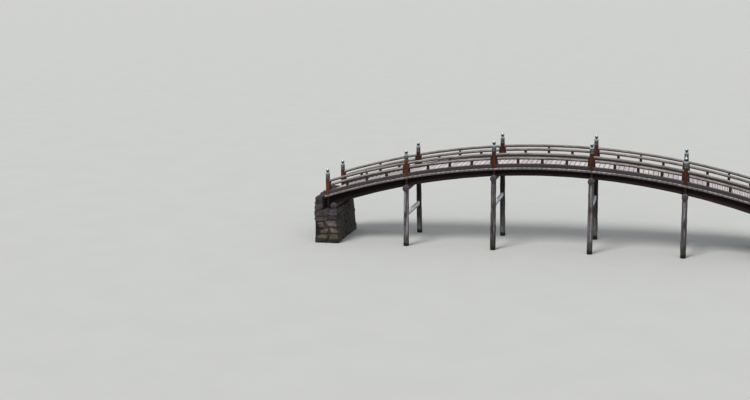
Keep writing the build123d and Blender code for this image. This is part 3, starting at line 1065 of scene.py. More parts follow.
@dataclass(frozen=True)
class StoneFinish:
    """Rough fieldstone with lichen and a dark wet foot, with painted light low down on the bridge's sides."""

    name: str = "fieldstone"
    cool: Colour = rgb(76, 73, 80)
    warm: Colour = rgb(92, 79, 70)
    dark: Colour = rgb(22, 20, 21)
    # Colour of the painted light low on the sides.
    painted_light: Colour = rgb(158, 136, 122)
    lichen: Colour = rgb(134, 134, 122)
    film: Colour = rgb(56, 60, 42)
    wet: Colour = rgb(20, 20, 18)
    level: float = 0.14
    specular: float = 0.2

    def build(self) -> Material:
        """Makes the material: each stone its own shade, with clouds, speckle, lichen and a wet foot.

        Returns:
            The material.
        """
        surface = Surface.named(self.name)
        g = surface.graph
        tone, arris = g.attribute("tone"), g.attribute("arris")
        face = Effect.place(g, "stone_face", {"Place": surface.place, "Tone": tone})
        weather = surface.weather(arris, 5.0)
        line = Effect.place(g, "waterline", {"Place": surface.place, "Level": self.level})
        # Painted light on faces turned to the bridge's sides, strongest low down, below the shade of the
        # deck.
        painted_light = g.times(weather["Ends"], g.band(face["Clouds"], 0.1, 0.9, 0.6, 0.2))
        painted_light_share = g.band(g.up(surface.place), 1.3, 0.8, 0.15, 1.0)
        colour = g.layers(
            g.mix(g.band(tone, 0.25, 0.75), self.cool, self.warm), (face["Clouds"], 0.7, self.dark),
            (painted_light, painted_light_share, self.painted_light), (face["Speckle"], 0.3, self.dark),
        )
        light = g.band(g.math("FRACT", g.times(tone, 7.3)), 0.0, 1.0, 0.6, 1.15)
        # Among these layers: grime and painted shade on faces turned down.
        colour = g.layers(
            g.shade(colour, light), (face["Lichen"], 0.45, self.lichen), (weather["Grime And Shade"], 0.5, self.dark),
            (line["Runs"], 0.3, self.dark), (line["Film"], 0.5, self.film), (line["Wet"], 0.8, self.wet),
        )
        rough = g.math("SUBTRACT", g.band(face["Speckle"], 0.0, 1.0, 0.92, 0.78), g.times(line["Wet"], 0.4))
        surface.shader.inputs["Specular IOR Level"].default_value = self.specular
        surface.join(colour, rough, face["Relief"], 0.012, 0.8)
        return surface.material


@dataclass(frozen=True)
class PlainFinish:
    """A plain matte surface with faint clouds, for the floor and the filling behind the stones."""

    name: str
    light: Colour
    dark: Colour
    scale: float

    def build(self) -> Material:
        """Makes the material: two near colours mixed by noise.

        Returns:
            The material.
        """
        surface = Surface.named(self.name)
        g = surface.graph
        clouds = g.noise(surface.place, self.scale)
        colour = g.mix(g.band(clouds, 0.3, 0.7), self.light, self.dark)
        surface.join(colour, g.band(clouds, 0.0, 1.0, 0.85, 0.95))
        return surface.material


class Finishes:
    """Every finish of the bridge, built once."""

    def __init__(self) -> None:
        """Builds the shared effects, then the materials."""
        for make in (make_timber_grain, make_weathering, make_waterline, make_stone_face, make_patina):
            make()
        self.post = TimberFinish(
            "post_vermilion", rgb(104, 72, 60), rgb(44, 27, 26), rgb(124, 98, 86), bleach=0.35, rubbed=0.15,
            paint=rgb(134, 70, 46), tones=(0.6, 1.2),
        ).build()
        # A darker copy of the post's finish for the legs below the planks: painted shade under the deck.
        self.leg = TimberFinish(
            "post_leg_painted_shade", rgb(62, 44, 38), rgb(28, 18, 17), rgb(90, 76, 70), bleach=0.2, rubbed=0.2,
            paint=rgb(70, 40, 33), paint_left=0.66, tones=(0.7, 1.1),
        ).build()
        # The rails: painted light on the shoulders, painted shade on the lower parts and on faces turned
        # down.
        self.rail = TimberFinish(
            "rail_timber", rgb(70, 56, 60), rgb(38, 28, 34), rgb(204, 196, 192), bleach=1.0, cover=0.6,
            shoulder_light=0.66, lower_light_and_shade=rgb(36, 27, 31), rubbed=0.3, grime_and_shade=0.9, tones=(0.74, 1.16),
        ).build()
        self.sill = TimberFinish(
            "sill_timber", rgb(78, 74, 75), rgb(40, 35, 37), rgb(150, 142, 142), tones=(0.8, 1.1)
        ).build()
        self.strut = TimberFinish(
            "strut_timber", rgb(60, 42, 40), rgb(26, 17, 19), rgb(98, 84, 82), bleach=0.5, rubbed=0.25,
            tones=(0.65, 1.15),
        ).build()
        self.deck = TimberFinish(
            "deck_planks", rgb(190, 181, 185), rgb(72, 63, 68), rgb(244, 234, 238), rgb(132, 128, 128),
            bleach=0.95, cover=0.75, ring_share=0.16, fibre_share=0.2, tones=(0.82, 1.08), seams=0.75,
            rubbed=0.0, grime_and_shade=0.6, streak=rgb(148, 138, 144), streak_share=0.3,
        ).build()
        # The girders: near black, with painted light on their lower parts below the shadow of the deck's
        # overhang.
        self.girder = TimberFinish(
            "girder_timber", rgb(23, 17, 17), rgb(9, 7, 7), rgb(120, 112, 108), bleach=0.2, rubbed=0.12,
            tones=(0.6, 1.2), grime_and_shade=0.1, specular=0.08, lower_light_and_shade=rgb(50, 42, 43), streak=rgb(44, 26, 24),
            streak_share=0.5,
        ).build()
        self.log = TimberFinish(
            "crossbeam_log", rgb(92, 84, 93), rgb(40, 35, 41), rgb(150, 142, 150), rgb(84, 77, 84),
            bleach=0.6, ring_width=0.011, streak=rgb(124, 118, 126), streak_share=0.35,
        ).build()
        self.pile = TimberFinish(
            "pile_log", rgb(98, 90, 92), rgb(40, 34, 34), rgb(160, 158, 162), bleach=0.4, ring_width=0.011,
            tones=(0.2, 1.25), streak=rgb(170, 166, 176), streak_share=0.85, rubbed=0.2, water=WaterMarks(),
        ).build()
        # The ties: painted light on the shoulders, painted shade on the lower parts.
        self.tie = TimberFinish(
            "tie_board", rgb(234, 238, 246), rgb(176, 178, 188), rgb(248, 252, 255), rgb(64, 52, 50),
            bleach=0.95, cover=0.8, ring_share=0.15, fibre_share=0.18, tones=(1.0, 1.08), shoulder_light=1.0,
            lower_light_and_shade=rgb(146, 148, 160), grime_and_shade=0.1, ends_from=1.42,
        ).build()
        self.metal = PatinaFinish().build()
        self.stone = StoneFinish().build()
        self.filling = PlainFinish("joint_filling", rgb(44, 41, 40), rgb(24, 22, 21), 9.0).build()
        self.floor = PlainFinish("floor", rgb(206, 208, 206), rgb(204, 206, 204), 0.4).build()


# The bridge


@dataclass(frozen=True)
class Layout:
    """The places that the pieces share, read from the CAD nodes' boxes."""

    plank_depth: float = 0.085
    girder_depth: float = 0.32

    @property
    def deck(self) -> Arc:
        """The arc of the deck's upper surface.

        Returns:
            The arc.
        """
        low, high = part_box("deck")
        under = Arc.through(high[2] - self.plank_depth, high[0], low[2])
        return under.raised(self.plank_depth)

    @property
    def girder_under(self) -> Arc:
        """The arc of the girders' underside."""
        low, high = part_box("girder_middle")
        return Arc.through(high[2] - self.girder_depth, high[0], low[2])

    @property
    def posts(self) -> Array:
        """The places along X of the six posts of a side."""
        return np.array([self.middle(f"post_{number}_near")[0] for number in range(1, 7)])

    @property
    def bents(self) -> Array:
        """The places along X of the four bents."""
        return self.posts[1:-1]

    @property
    def lengths(self) -> list[tuple[float, float]]:
        """Start and end of each bay's stretch of girder and deck.

        Returns:
            A pair of places along X for each bay.
        """
        low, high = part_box("deck")
        marks = [low[0], *self.bents, high[0]]
        return list(pairwise(marks))

    def middle(self, node: str) -> Array:
        """Centre of a CAD node's box."""
        low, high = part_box(node)
        return 0.5 * (np.array(low) + np.array(high))

    def size(self, node: str) -> Array:
        """Extent of a CAD node's box."""
        low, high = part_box(node)
        return np.array(high) - np.array(low)


@dataclass(frozen=True)
class Deck:
    """Cross planks on the girders, plugged over their spikes, with tread cleats in the end bays."""

    layout: Layout
    plank_pitch: float = 0.226
    plank_rows: float = 0.14
    plank_uneven: float = 0.0018
    plank_margin: float = 0.018
    joint: float = 0.008
    bedding: float = 0.002
    depth_spread: tuple[float, float] = (-0.005, 0.001)
    end_spread: float = 0.012
    cleat_width: float = 0.055
    cleat_depth: float = 0.028
    cleat_bedding: float = 0.004
    cleat_inset: float = 0.14
    cleat_rows: float = 0.3
    cleat_edges: tuple[float, float] = (0.004, 0.012)
    cleat_uneven: float = 0.001
    cleat_start: float = 0.1
    plug_sides: int = 10
    plug_radius: float = 0.015
    plug_rise: tuple[float, float, float] = (-0.01, 0.0015, 0.003)
    plug_share: float = 0.55
    plug_offset: float = 0.035
    plug_spread: tuple[float, float] = (0.006, 0.008)

    def add_plugs(self, skin: Skin, top: Array, tilt: float, half: float, rng: np.random.Generator) -> None:
        """Adds a plank's plugs, two over each girder.

        Each plug is a short prism with point(h, v) = seat + (r cos v, r sin v, h), turned to the slope.

        Args:
            skin: where they go.
            top: middle of the plank's upper face, (2,), along X and Z.
            tilt: the plank's slope.
            half: half of the plank's width.
            rng: source of their unevenness.
        """
        v = np.linspace(0, 2 * np.pi, self.plug_sides, endpoint=False)
        rise = np.array(self.plug_rise)
        radius = self.plug_radius * np.array([1.0, 1.0, 0.85])
        along_spread, across_spread = self.plug_spread
        ring = np.stack([radius[:, None] * np.cos(v), radius[:, None] * np.sin(v)], -1)
        for line in ("near", "middle", "far"):
            y = self.layout.middle(f"girder_{line}")[1]
            for way in (-1, 1):
                along = way * self.plug_share * half + rng.uniform(-along_spread, along_spread)
                along = along + ring[..., 0]
                across = y + way * self.plug_offset + rng.uniform(-across_spread, across_spread)
                across = across + ring[..., 1]
                x = top[0] + along * math.cos(tilt) + rise[:, None] * math.sin(tilt)
                z = top[1] - along * math.sin(tilt) + rise[:, None] * math.cos(tilt)
                grid = np.stack([x, across, z], -1)
                skin.add_tube(grid, grid * 3.0, np.zeros(grid.shape[:2]), rng.uniform(0.1, 0.5))

    def build(self, finishes: Finishes) -> None:
        """Makes the planks, the plugs and the cleats.

        Args:
            finishes: every finish of the bridge.
        """
        arc = self.layout.deck
        low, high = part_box("deck")
        half = 0.5 * (high[1] - low[1])
        reach = arc.radius * arc.tilt(high[0])
        count = round(2 * reach / self.plank_pitch)
        pitch = 2 * reach / count
        along = (np.arange(count) + 0.5) * pitch - reach
        rng = np.random.default_rng(11)
        planks, cleats, plugs = Skin("deck_planks"), Skin("tread_cleats"), Skin("deck_plugs")
        outer = self.layout.bents[-1]
        section = Section(pitch - self.joint, margin=self.plank_margin)
        for number, run in enumerate(along):
            angle = run / arc.radius
            x, z = arc.radius * math.sin(angle), arc.crest - arc.radius + arc.radius * math.cos(angle)
            under = self.layout.plank_depth + self.bedding
            foot = x - under * math.sin(angle), z - under * math.cos(angle)
            depth = under + rng.uniform(*self.depth_spread)
            plank = SquaredTimber(section, 300 + number, uneven=self.plank_uneven)
            reach_y = half - rng.uniform(0.0, self.end_spread)
            plank.add_across(planks, *foot, reach_y, depth, angle, self.plank_rows)
            top = np.array([foot[0] + depth * math.sin(angle), foot[1] + depth * math.cos(angle)])
            self.add_plugs(plugs, top, angle, 0.5 * section.width, rng)
            if abs(x) > outer + self.cleat_start:
                edges = Section(self.cleat_width, *self.cleat_edges)
                cleat = SquaredTimber(edges, 900 + number, uneven=self.cleat_uneven)
                seat, reach_y = z - self.cleat_bedding, half - self.cleat_inset
                cleat.add_across(cleats, x, seat, reach_y, self.cleat_depth, angle, self.cleat_rows)
        planks.build(finishes.deck, "deck_wood", "deck")
        cleats.build(finishes.deck, "deck_wood")
        plugs.build(finishes.deck, "deck_wood")


@dataclass(frozen=True)
class Girders:
    """Three lines of arched girders, one length in each bay, butted over the crossbeams."""

    layout: Layout
    splice: float = 0.002
    edges: tuple[float, float] = (0.012, 0.03)
    uneven: float = 0.002

    def build(self, finishes: Finishes) -> None:
        """Makes each line of girders.

        Args:
            finishes: every finish of the bridge.
        """
        upper = self.layout.deck.raised(-self.layout.plank_depth)
        under = self.layout.girder_under
        for line, name in enumerate(("near", "middle", "far")):
            node = f"girder_{name}"
            skin = Skin(node + "_timbers")
            y, width = self.layout.middle(node)[1], self.layout.size(node)[1]
            for bay, (start, end) in enumerate(self.layout.lengths):
                section = Section(width, *self.edges)
                timber = SquaredTimber(section, 40 + 10 * line + bay, uneven=self.uneven)
                timber.add_arched(skin, start + self.splice, end - self.splice, y, under, upper)
            skin.build(finishes.girder, "girder_wood", node)


@dataclass(frozen=True)
class Railing:
    """One side's railing: sill, lower rail and top rail, a length in each bay, with struts and stiles."""

    layout: Layout
    side: str
    sill_height: float = 0.185
    lower_bottom: float = 0.378
    lower_top: float = 0.498
    top_bottom: float = 0.565
    housing: float = 0.07
    strut_size: tuple[float, float] = (0.125, 0.085)
    middle_strut_size: tuple[float, float] = (0.092, 0.076)
    stile_depth: float = 0.118
    stile_foot: float = 0.182
    stile_head: float = 0.154
    tenon: float = 0.003
    stile_tenon: float = 0.01
    stile_rows: float = 0.05
    edge_margin: float = 0.016
    tone_step: float = 0.618
    sill_bedding: float = 0.002
    uneven: float = 0.001

    @property
    def line(self) -> float:
        """The railing's place across the bridge."""
        return self.layout.middle(f"post_1_{self.side}")[1]

    def add_line(
        self, skin: Skin, width: float, heights: tuple[float, float], chamfer: float,
        shades: tuple[float, float], seed: int,
    ) -> None:
        """Adds a curved timber in each bay, housed a little way into the posts.

        Args:
            skin: where it goes.
            width: its width.
            heights: its underside and top over the deck.
            chamfer: its chamfer.
            shades: lowest and highest tone of its lengths, which are spread by steps of the golden ratio.
            seed: seed of its first length.
        """
        deck = self.layout.deck
        for bay, (start, end) in enumerate(pairwise(self.layout.posts)):
            tone = shades[0] + (shades[1] - shades[0]) * ((seed + bay) * self.tone_step % 1)
            section = Section(width, chamfer, chamfer + self.edge_margin)
            timber = SquaredTimber(section, seed + bay, tone=tone)
            low, high = (deck.raised(height) for height in heights)
            timber.add_arched(skin, start + self.housing, end - self.housing, self.line, low, high)

    def add_strut(
        self, skin: Skin, x: float, size: tuple[float, float], bottom: float, top: float, seed: int
    ) -> None:
        """Adds an upright strut between two heights over the deck.

        Args:
            skin: where it goes.
            x: its place along the bridge.
            size: its extent along and across the bridge.
            bottom: its foot over the deck.
            top: its head over the deck.
            seed: seed of its grain and unevenness.
        """
        deck, half = self.layout.deck, 0.5 * size[0]
        timber = SquaredTimber(Section(size[1]), seed, Grain.UPRIGHT, self.uneven)
        low, high = deck.raised(bottom - self.tenon), deck.raised(top + self.tenon)
        timber.add_arched(skin, x - half, x + half, self.line, low, high)

    def add_stile(self, skin: Skin, x: float, way: int, seed: int) -> None:
        """Adds a stile against one flank of the post at x.

        Its rows run from inside the post to its outer edge, and each leans back to the post by its
        share of the way out, so that the outer edge slopes from stile_foot to stile_head.

        Args:
            skin: where it goes.
            x: the post's place along the bridge.
            way: 1 or -1, the side of the post along X.
            seed: seed of its grain and unevenness.
        """
        deck = self.layout.deck
        timber = SquaredTimber(Section(self.stile_depth), seed, Grain.UPRIGHT, self.uneven)
        reach = timber.rows(self.housing, self.stile_foot, self.stile_rows)
        rows = x + way * reach
        low = deck.raised(self.sill_height - self.tenon).height(rows)
        high = deck.raised(self.top_bottom + self.stile_tenon).height(rows)
        lean = (self.stile_foot - self.stile_head) / (self.top_bottom - self.sill_height)
        share = (reach - self.housing) / (self.stile_foot - self.housing)
        path = np.stack([rows, np.full_like(rows, self.line), low], -1)
        up = np.stack([-way * lean * share, np.zeros_like(rows), np.ones_like(rows)], -1)
        timber.add(skin, path, ACROSS, up, high - low)

    def build(self, finishes: Finishes) -> None:
        """Makes the sill, the two rails, and the struts and stiles of this side.

        Args:
            finishes: every finish of the bridge.
        """
        crest = self.layout.deck.crest
        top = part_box(f"top_rail_{self.side}")[1][2] - crest
        base = 100 if self.side == "near" else 200
        kinds = (
            ("sill", (-self.sill_bedding, self.sill_height), 0.01, (0.1, 0.9), finishes.sill),
            ("lower_rail", (self.lower_bottom, self.lower_top), 0.01, (0.6, 1.0), finishes.rail),
            ("top_rail", (self.top_bottom, top), 0.022, (0.0, 0.5), finishes.rail),
        )
        for number, (name, heights, chamfer, shades, finish) in enumerate(kinds):
            node = f"{name}_{self.side}"
            skin = Skin(node + "_timbers")
            self.add_line(skin, self.layout.size(node)[1], heights, chamfer, shades, base + 10 * number)
            skin.build(finish, "sill_wood" if name == "sill" else "rail_wood", node)
        node = f"struts_{self.side}"
        skin = Skin(node + "_blocks")
        for bay, (start, end) in enumerate(pairwise(self.layout.posts)):
            for part in (1, 2, 3):
                x = start + (end - start) * part / 4
                seed = base + 40 + 5 * bay + part
                self.add_strut(skin, x, self.strut_size, self.sill_height, self.lower_bottom, seed)
            middle, seed = 0.5 * (start + end), base + 70 + bay
            self.add_strut(skin, middle, self.middle_strut_size, self.lower_top, self.top_bottom, seed)
            self.add_stile(skin, start, 1, base + 80 + bay)
            self.add_stile(skin, end, -1, base + 90 + bay)
        skin.build(finishes.strut, "strut_wood", node)


@dataclass(frozen=True)
class Posts:
    """Round railing posts, each with its metal cap: sleeve, ring, neck and onion-shaped knob."""

    layout: Layout
    side: str
    shoulder: float = 0.8
    sleeve_height: float = 0.262
    sleeve_diameter: float = 0.1984
    knob_radius: float = 0.0825
    cap_height: float = 0.524
    uneven: float = 0.0016
    foot_bevel: float = 0.006
    head_bevel: float = 0.005
    margins: tuple[float, float] = (0.03, 0.02)
    pitch: float = 0.05
    leg: float = 0.1
    leg_uneven: float = 0.001
    leg_drop: float = 0.004
    leg_gap: float = 0.02
    leg_rows: float = 0.1
    far_shade: float = 0.15

    def shaft(self, radius: float, length: float) -> Turning:
        """The turning of a post: straight, with an eased foot and shoulder.

        Args:
            radius: its radius.
            length: its length.

        Returns:
            The turning.
        """
        low, high = self.margins
        inner = np.linspace(low, length - high, max(6, round(length / self.pitch)))
        height = np.concatenate([[0.0, self.foot_bevel], inner, [length - self.head_bevel, length]])
        edge = np.full(len(height), radius)
        edge[[0, -1]] = radius - self.foot_bevel, radius - self.head_bevel
        return Turning(edge, height)

    def add_leg(self, skin: Skin, x: float, foot: float, top: float, seed: int) -> None:
        """Adds the square leg below the planks, against the outer girder's face.

        Args:
            skin: where it goes.
            x: its place along the bridge.
            foot: height of its foot.
            top: height of its head.
            seed: seed of its grain and unevenness.
        """
        low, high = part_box(f"girder_{self.side}")
        way = SIDES[self.side]
        face = high[1] if way > 0 else low[1]
        timber = SquaredTimber(Section(self.leg), seed, uneven=self.leg_uneven)
        z = timber.rows(foot, top, self.leg_rows)
        path = np.stack([np.full_like(z, x), np.full_like(z, face), z], -1)
        across, up = np.array([-way, 0.0, 0.0]), np.array([0.0, way, 0.0])
        timber.add(skin, path, across, up, np.full(len(z), self.leg))

    def cap(self) -> Turning:
        """The turning of a cap.

        The sleeve has a bead at its foot, at mid-height and under its ring. The knob's radius over its
        height t from 0.07 to 1 is its widest radius * 2.7 * sqrt(t) * (1 - t)^1.1: widest low down and
        drawn out to a point.

        Returns:
            The turning.
        """
        s, top = 0.5 * self.sleeve_diameter, self.sleeve_height
        half, rim = 0.5 * top, s + 0.005
        foot = [(s + 0.002, 0.0), (s + 0.007, 0.004), (s + 0.007, 0.018), (s + 0.001, 0.023), (s, 0.028)]
        band = [(s, half - 0.012), (s + 0.004, half - 0.007), (s + 0.004, half + 0.007), (s, half + 0.012)]
        bead = [(s, top - 0.034), (rim, top - 0.028), (rim, top - 0.014), (s + 0.001, top - 0.007)]
        ring = [(0.106, top - 0.003), (0.1095, top + 0.004), (0.1095, top + 0.015), (0.104, top + 0.021)]
        neck = [(0.08, top + 0.026), (0.06, top + 0.034), (0.051, top + 0.044), (0.049, top + 0.054)]
        mould = np.array(foot + band + bead + ring + neck)
        t = 0.07 + 0.93 * np.linspace(0, 1, 24) ** 1.15
        knob = self.knob_radius * 2.7 * np.sqrt(t) * np.clip(1 - t, 0, 1) ** 1.1
        knob[-1] = 0.0015
        base = top + 0.062
        rise = base + (t - 0.07) / 0.93 * (self.cap_height - base)
        return Turning(np.concatenate([mould[:, 0], knob]), np.concatenate([mould[:, 1], rise]), 72)

    def build(self, finishes: Finishes) -> None:
        """Makes this side's six posts, one piece each, and its caps as one piece.

        Args:
            finishes: every finish of the bridge.
        """
        caps = Skin(f"caps_{self.side}")
        for number, x in enumerate(self.layout.posts, 1):
            node = f"post_{number}_{self.side}"
            low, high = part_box(node)
            deck = float(self.layout.deck.height(x))
            y, foot = self.layout.middle(node)[1], deck - 0.5 * self.layout.plank_depth
            skin = Skin(node + "_shaft")
            seed = 500 + 20 * number + (7 if self.side == "far" else 0)
            shaft = self.shaft(0.5 * (high[0] - low[0]), deck + self.shoulder - foot)
            shade = self.far_shade if self.side == "far" else None
            shaft.add(skin, x, y, foot, seed, self.uneven, shade)
            skin.build(finishes.post, "post_wood", node)
            leg = Skin(node + "_leg")
            self.add_leg(leg, x, low[2] - self.leg_drop, foot - self.leg_gap, seed + 5)
            # The leg takes the darker finish, painted shade under the deck.
            leg.build(finishes.leg, "post_wood")
            self.cap().add(caps, x, y, deck + self.shoulder, seed + 3)
        caps.build(finishes.metal, "cap_metal", f"post_caps_{self.side}", sharp=40)


@dataclass(frozen=True)
class Bents:
    """Pile bents: a log across the bridge on two leaning piles, with a tie board through them."""

    layout: Layout
    batter: float = math.radians(3.2)
    log_radius: float = 0.15
    head_radius: float = 0.125
    head_depth: float = 0.06
    log_knots: int = 4
    log_uneven: float = 0.003
    pile_knots: int = 7
    pile_uneven: float = 0.005
    tie_rows: float = 0.1
    tie_edges: tuple[float, float] = (0.007, 0.018)
    tie_uneven: float = 0.002
    near_shades: tuple[float, ...] = (0.9, 0.5, 0.78, 0.7)
    # The far piles' low tone is painted shade of the deck, and brings on the sheltered marks.
    far_shade: float = 0.42

    def build_log(self, finishes: Finishes, node: str, name: str, seed: int) -> None:
        """Makes a whole log along Y where a CAD node lies.

        Args:
            finishes: every finish of the bridge.
            node: the CAD node.
            name: the piece's name.
            seed: seed of its grain and unevenness.
        """
        low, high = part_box(node)
        x, z = self.layout.middle(node)[0], low[2] + self.log_radius
        start, end = np.array([x, low[1], z]), np.array([x, high[1], z])
        radii = (self.log_radius, self.log_radius)
        log = Skin(name)
        RoundTimber(start, end, *radii, seed, self.log_knots, self.log_uneven).add(log)
        log.build(finishes.log, "log_wood", node)

    def build_pile(self, finishes: Finishes, number: int, side: str) -> None:
        """Makes a pile, which leans inwards from its foot up into the crossbeam.

        Args:
            finishes: every finish of the bridge.
            number: number of its bent.
            side: near or far.
        """
        way, node = SIDES[side], f"pile_{number}_{side}"
        low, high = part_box(node)
        foot_radius = 0.5 * (high[0] - low[0])
        foot_y = high[1] - foot_radius if way > 0 else low[1] + foot_radius
        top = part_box(f"crossbeam_{number}")[0][2] + self.head_depth
        foot = np.array([self.layout.middle(node)[0], foot_y, 0.0])
        head = np.array([foot[0], foot_y - way * top * math.tan(self.batter), top])
        shade = self.far_shade if way > 0 else self.near_shades[number - 1]
        seed, radii = 640 + 10 * number + way, (foot_radius, self.head_radius)
        pile = Skin(node + "_log")
        RoundTimber(foot, head, *radii, seed, self.pile_knots, self.pile_uneven, shade).add(pile)
        pile.build(finishes.pile, "pile_wood", node)

    def build_tie(self, finishes: Finishes, number: int) -> None:
        """Makes the board through a bent's two piles.

        Args:
            finishes: every finish of the bridge.
            number: number of its bent.
        """
        node = f"tie_{number}"
        board = Skin(node + "_board")
        width, length, depth = self.layout.size(node)
        timber = SquaredTimber(Section(width, *self.tie_edges), 700 + number, uneven=self.tie_uneven)
        x, z = self.layout.middle(node)[0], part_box(node)[0][2]
        timber.add_across(board, x, z, 0.5 * length, depth, 0.0, self.tie_rows)
        board.build(finishes.tie, "tie_wood", node)

    def build(self, finishes: Finishes) -> None:
        """Makes each bent's crossbeam, piles and tie, and then the bearing logs on the abutments.

        Args:
            finishes: every finish of the bridge.
        """
        for number in range(1, len(self.layout.bents) + 1):
            node = f"crossbeam_{number}"
            self.build_log(finishes, node, node + "_log", 600 + number)
            for side in SIDES:
                self.build_pile(finishes, number, side)
            self.build_tie(finishes, number)
        for number, end in enumerate(ENDS):
            node = f"bearing_log_{end}"
            self.build_log(finishes, node, node + "_timber", 620 + number)


@dataclass(frozen=True)
class Abutment:
    """A battered mass of rough stones in uneven courses, with a shelf in front and a back wall behind.

    It is worked out on the side of positive x, as an upright mass, then leant and turned to its end.
    """

    end: str
    half_width: float = 1.64
    batter: float = 0.06
    joint: float = 0.012
    wall: float = 0.45
    stone_depth: float = 0.5
    stone_widths: tuple[float, float] = (0.42, 0.6)
    low_course: float = 0.34
    high_course: float = 0.29
    clearance: float = 0.003
    filling_inset: float = 0.05
    roundness: tuple[float, float] = (3.6, 7.0)
    swell: tuple[float, float] = (0.98, 1.06)
    shift: float = 0.012
    spread: tuple[float, float] = (0.7, 1.3)
    course_ripple: tuple[float, float] = (1.3, 0.06)
    stone_ripple: tuple[float, float] = (0.5, 0.024)
    face_ripple: tuple[float, float] = (0.14, 0.008)
    tolerance: float = 0.01

    @cached_property
    def shelf(self) -> float:
        """Height of the shelf, which is the underside of the bearing log."""
        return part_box(f"bearing_log_{self.end}")[0][2]

    @cached_property
    def landing(self) -> float:
        """Height of the top of the back wall."""
        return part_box(f"abutment_{self.end}")[1][2]

    @cached_property
    def reach(self) -> tuple[float, float]:
        """Distances from mid-span to the front, at the height of the shelf, and to the back.

        Returns:
            Front and back.
        """
        low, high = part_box(f"abutment_{self.end}")
        front, back = sorted((abs(low[0]), abs(high[0])))
        return front + self.batter * self.shelf, back

    def block(self, steps: int = 6) -> tuple[Array, Array]:
        """Points on the faces of a cube from -1 to 1, with shared edges merged, and their quads.

        Args:
            steps: cells along each edge.

        Returns:
            The points, (n, 3), and the quads, (q, 4).
        """
        ticks = np.linspace(-1, 1, steps + 1)
        u, v = np.meshgrid(ticks, ticks, indexing="ij")
        i, j = np.meshgrid(np.arange(steps), np.arange(steps), indexing="ij")
        corner = (i * (steps + 1) + j).ravel()
        cell = np.stack([corner, corner + steps + 1, corner + steps + 2, corner + 1], -1)
        points, quads = [], []
        for axis in range(3):
            for sign in (-1.0, 1.0):
                face = np.empty((u.size, 3))
                face[:, axis] = sign
                face[:, (axis + 1) % 3], face[:, (axis + 2) % 3] = u.ravel(), v.ravel()
                quads.append((cell if sign > 0 else cell[:, ::-1]) + len(points) * u.size)
                points.append(face)
        merged, index = np.unique(np.round(np.concatenate(points), 6), axis=0, return_inverse=True)
        return merged, index.ravel()[np.concatenate(quads)]

    def splits(self, start: float, end: float, wanted: float, rng: np.random.Generator) -> Array:
        """Cuts a length into uneven parts near a wanted size and returns the marks.

        Args:
            start: the first mark.
            end: the last mark.
            wanted: wanted size of a part.
            rng: source of the random draws.

        Returns:
            The marks, (n,).
        """
        count = max(1, round((end - start) / wanted))
        parts = rng.uniform(*self.spread, count)
        return start + (end - start) * np.concatenate([[0], np.cumsum(parts) / parts.sum()])

    def course(
        self, z: tuple[float, float], x: tuple[float, float], full: bool, rng: np.random.Generator
    ) -> list:
        """The boxes of one course: rows along the front and back, and the sides between them.

        Args:
            z: its underside and top.
            x: its front and back along the bridge.
            full: whether it has stones in its middle too.
            rng: source of the random draws.

        Returns:
            For each stone its range along X, Y and Z.
        """
        boxes = []
        marks = self.splits(x[0], x[1], self.stone_depth, rng)
        for row, (x0, x1) in enumerate(pairwise(marks)):
            across = self.splits(-self.half_width, self.half_width, rng.uniform(*self.stone_widths), rng)
            for y0, y1 in pairwise(across):
                flank = max(-y0, y1) > self.half_width - self.tolerance
                inside = 0 < row < len(marks) - 2 and not flank
                if full or not inside:
                    boxes.append(((x0, x1), (y0, y1), z))
        return boxes

    def boxes(self, rng: np.random.Generator) -> list:
        """The boxes of all courses, up to the shelf and then in the back wall.

        Args:
            rng: source of the random draws.

        Returns:
            For each stone its range along X, Y and Z.
        """
        front, back = self.reach
        boxes = []
        for z in pairwise(self.splits(0.0, self.shelf, self.low_course, rng)):
            boxes += self.course(z, (front, back), z[1] > self.shelf - self.tolerance, rng)
        for z in pairwise(self.splits(self.shelf, self.landing, self.high_course, rng)):
            boxes += self.course(z, (back - self.wall, back), True, rng)
        return boxes

    def warp(self, points: Array) -> Array:
        """Leans the faces of the upright mass, and turns it to its end of the bridge.

        y grows by batter * (landing - z), and x falls by batter * (shelf - z) in front.

        Args:
            points: places on the upright mass, (n, 3).

        Returns:
            The moved places, (n, 3).
        """
        front, back = self.reach
        moved = points.copy()
        lean = self.batter * (self.landing - points[:, 2]) / self.half_width
        moved[:, 1] = points[:, 1] * (1 + lean)
        share = np.clip((back - points[:, 0]) / (back - front), 0, 1)
        moved[:, 0] = points[:, 0] - self.batter * np.clip(self.shelf - points[:, 2], 0, None) * share
        return moved * np.array([ENDS[self.end], 1, 1])

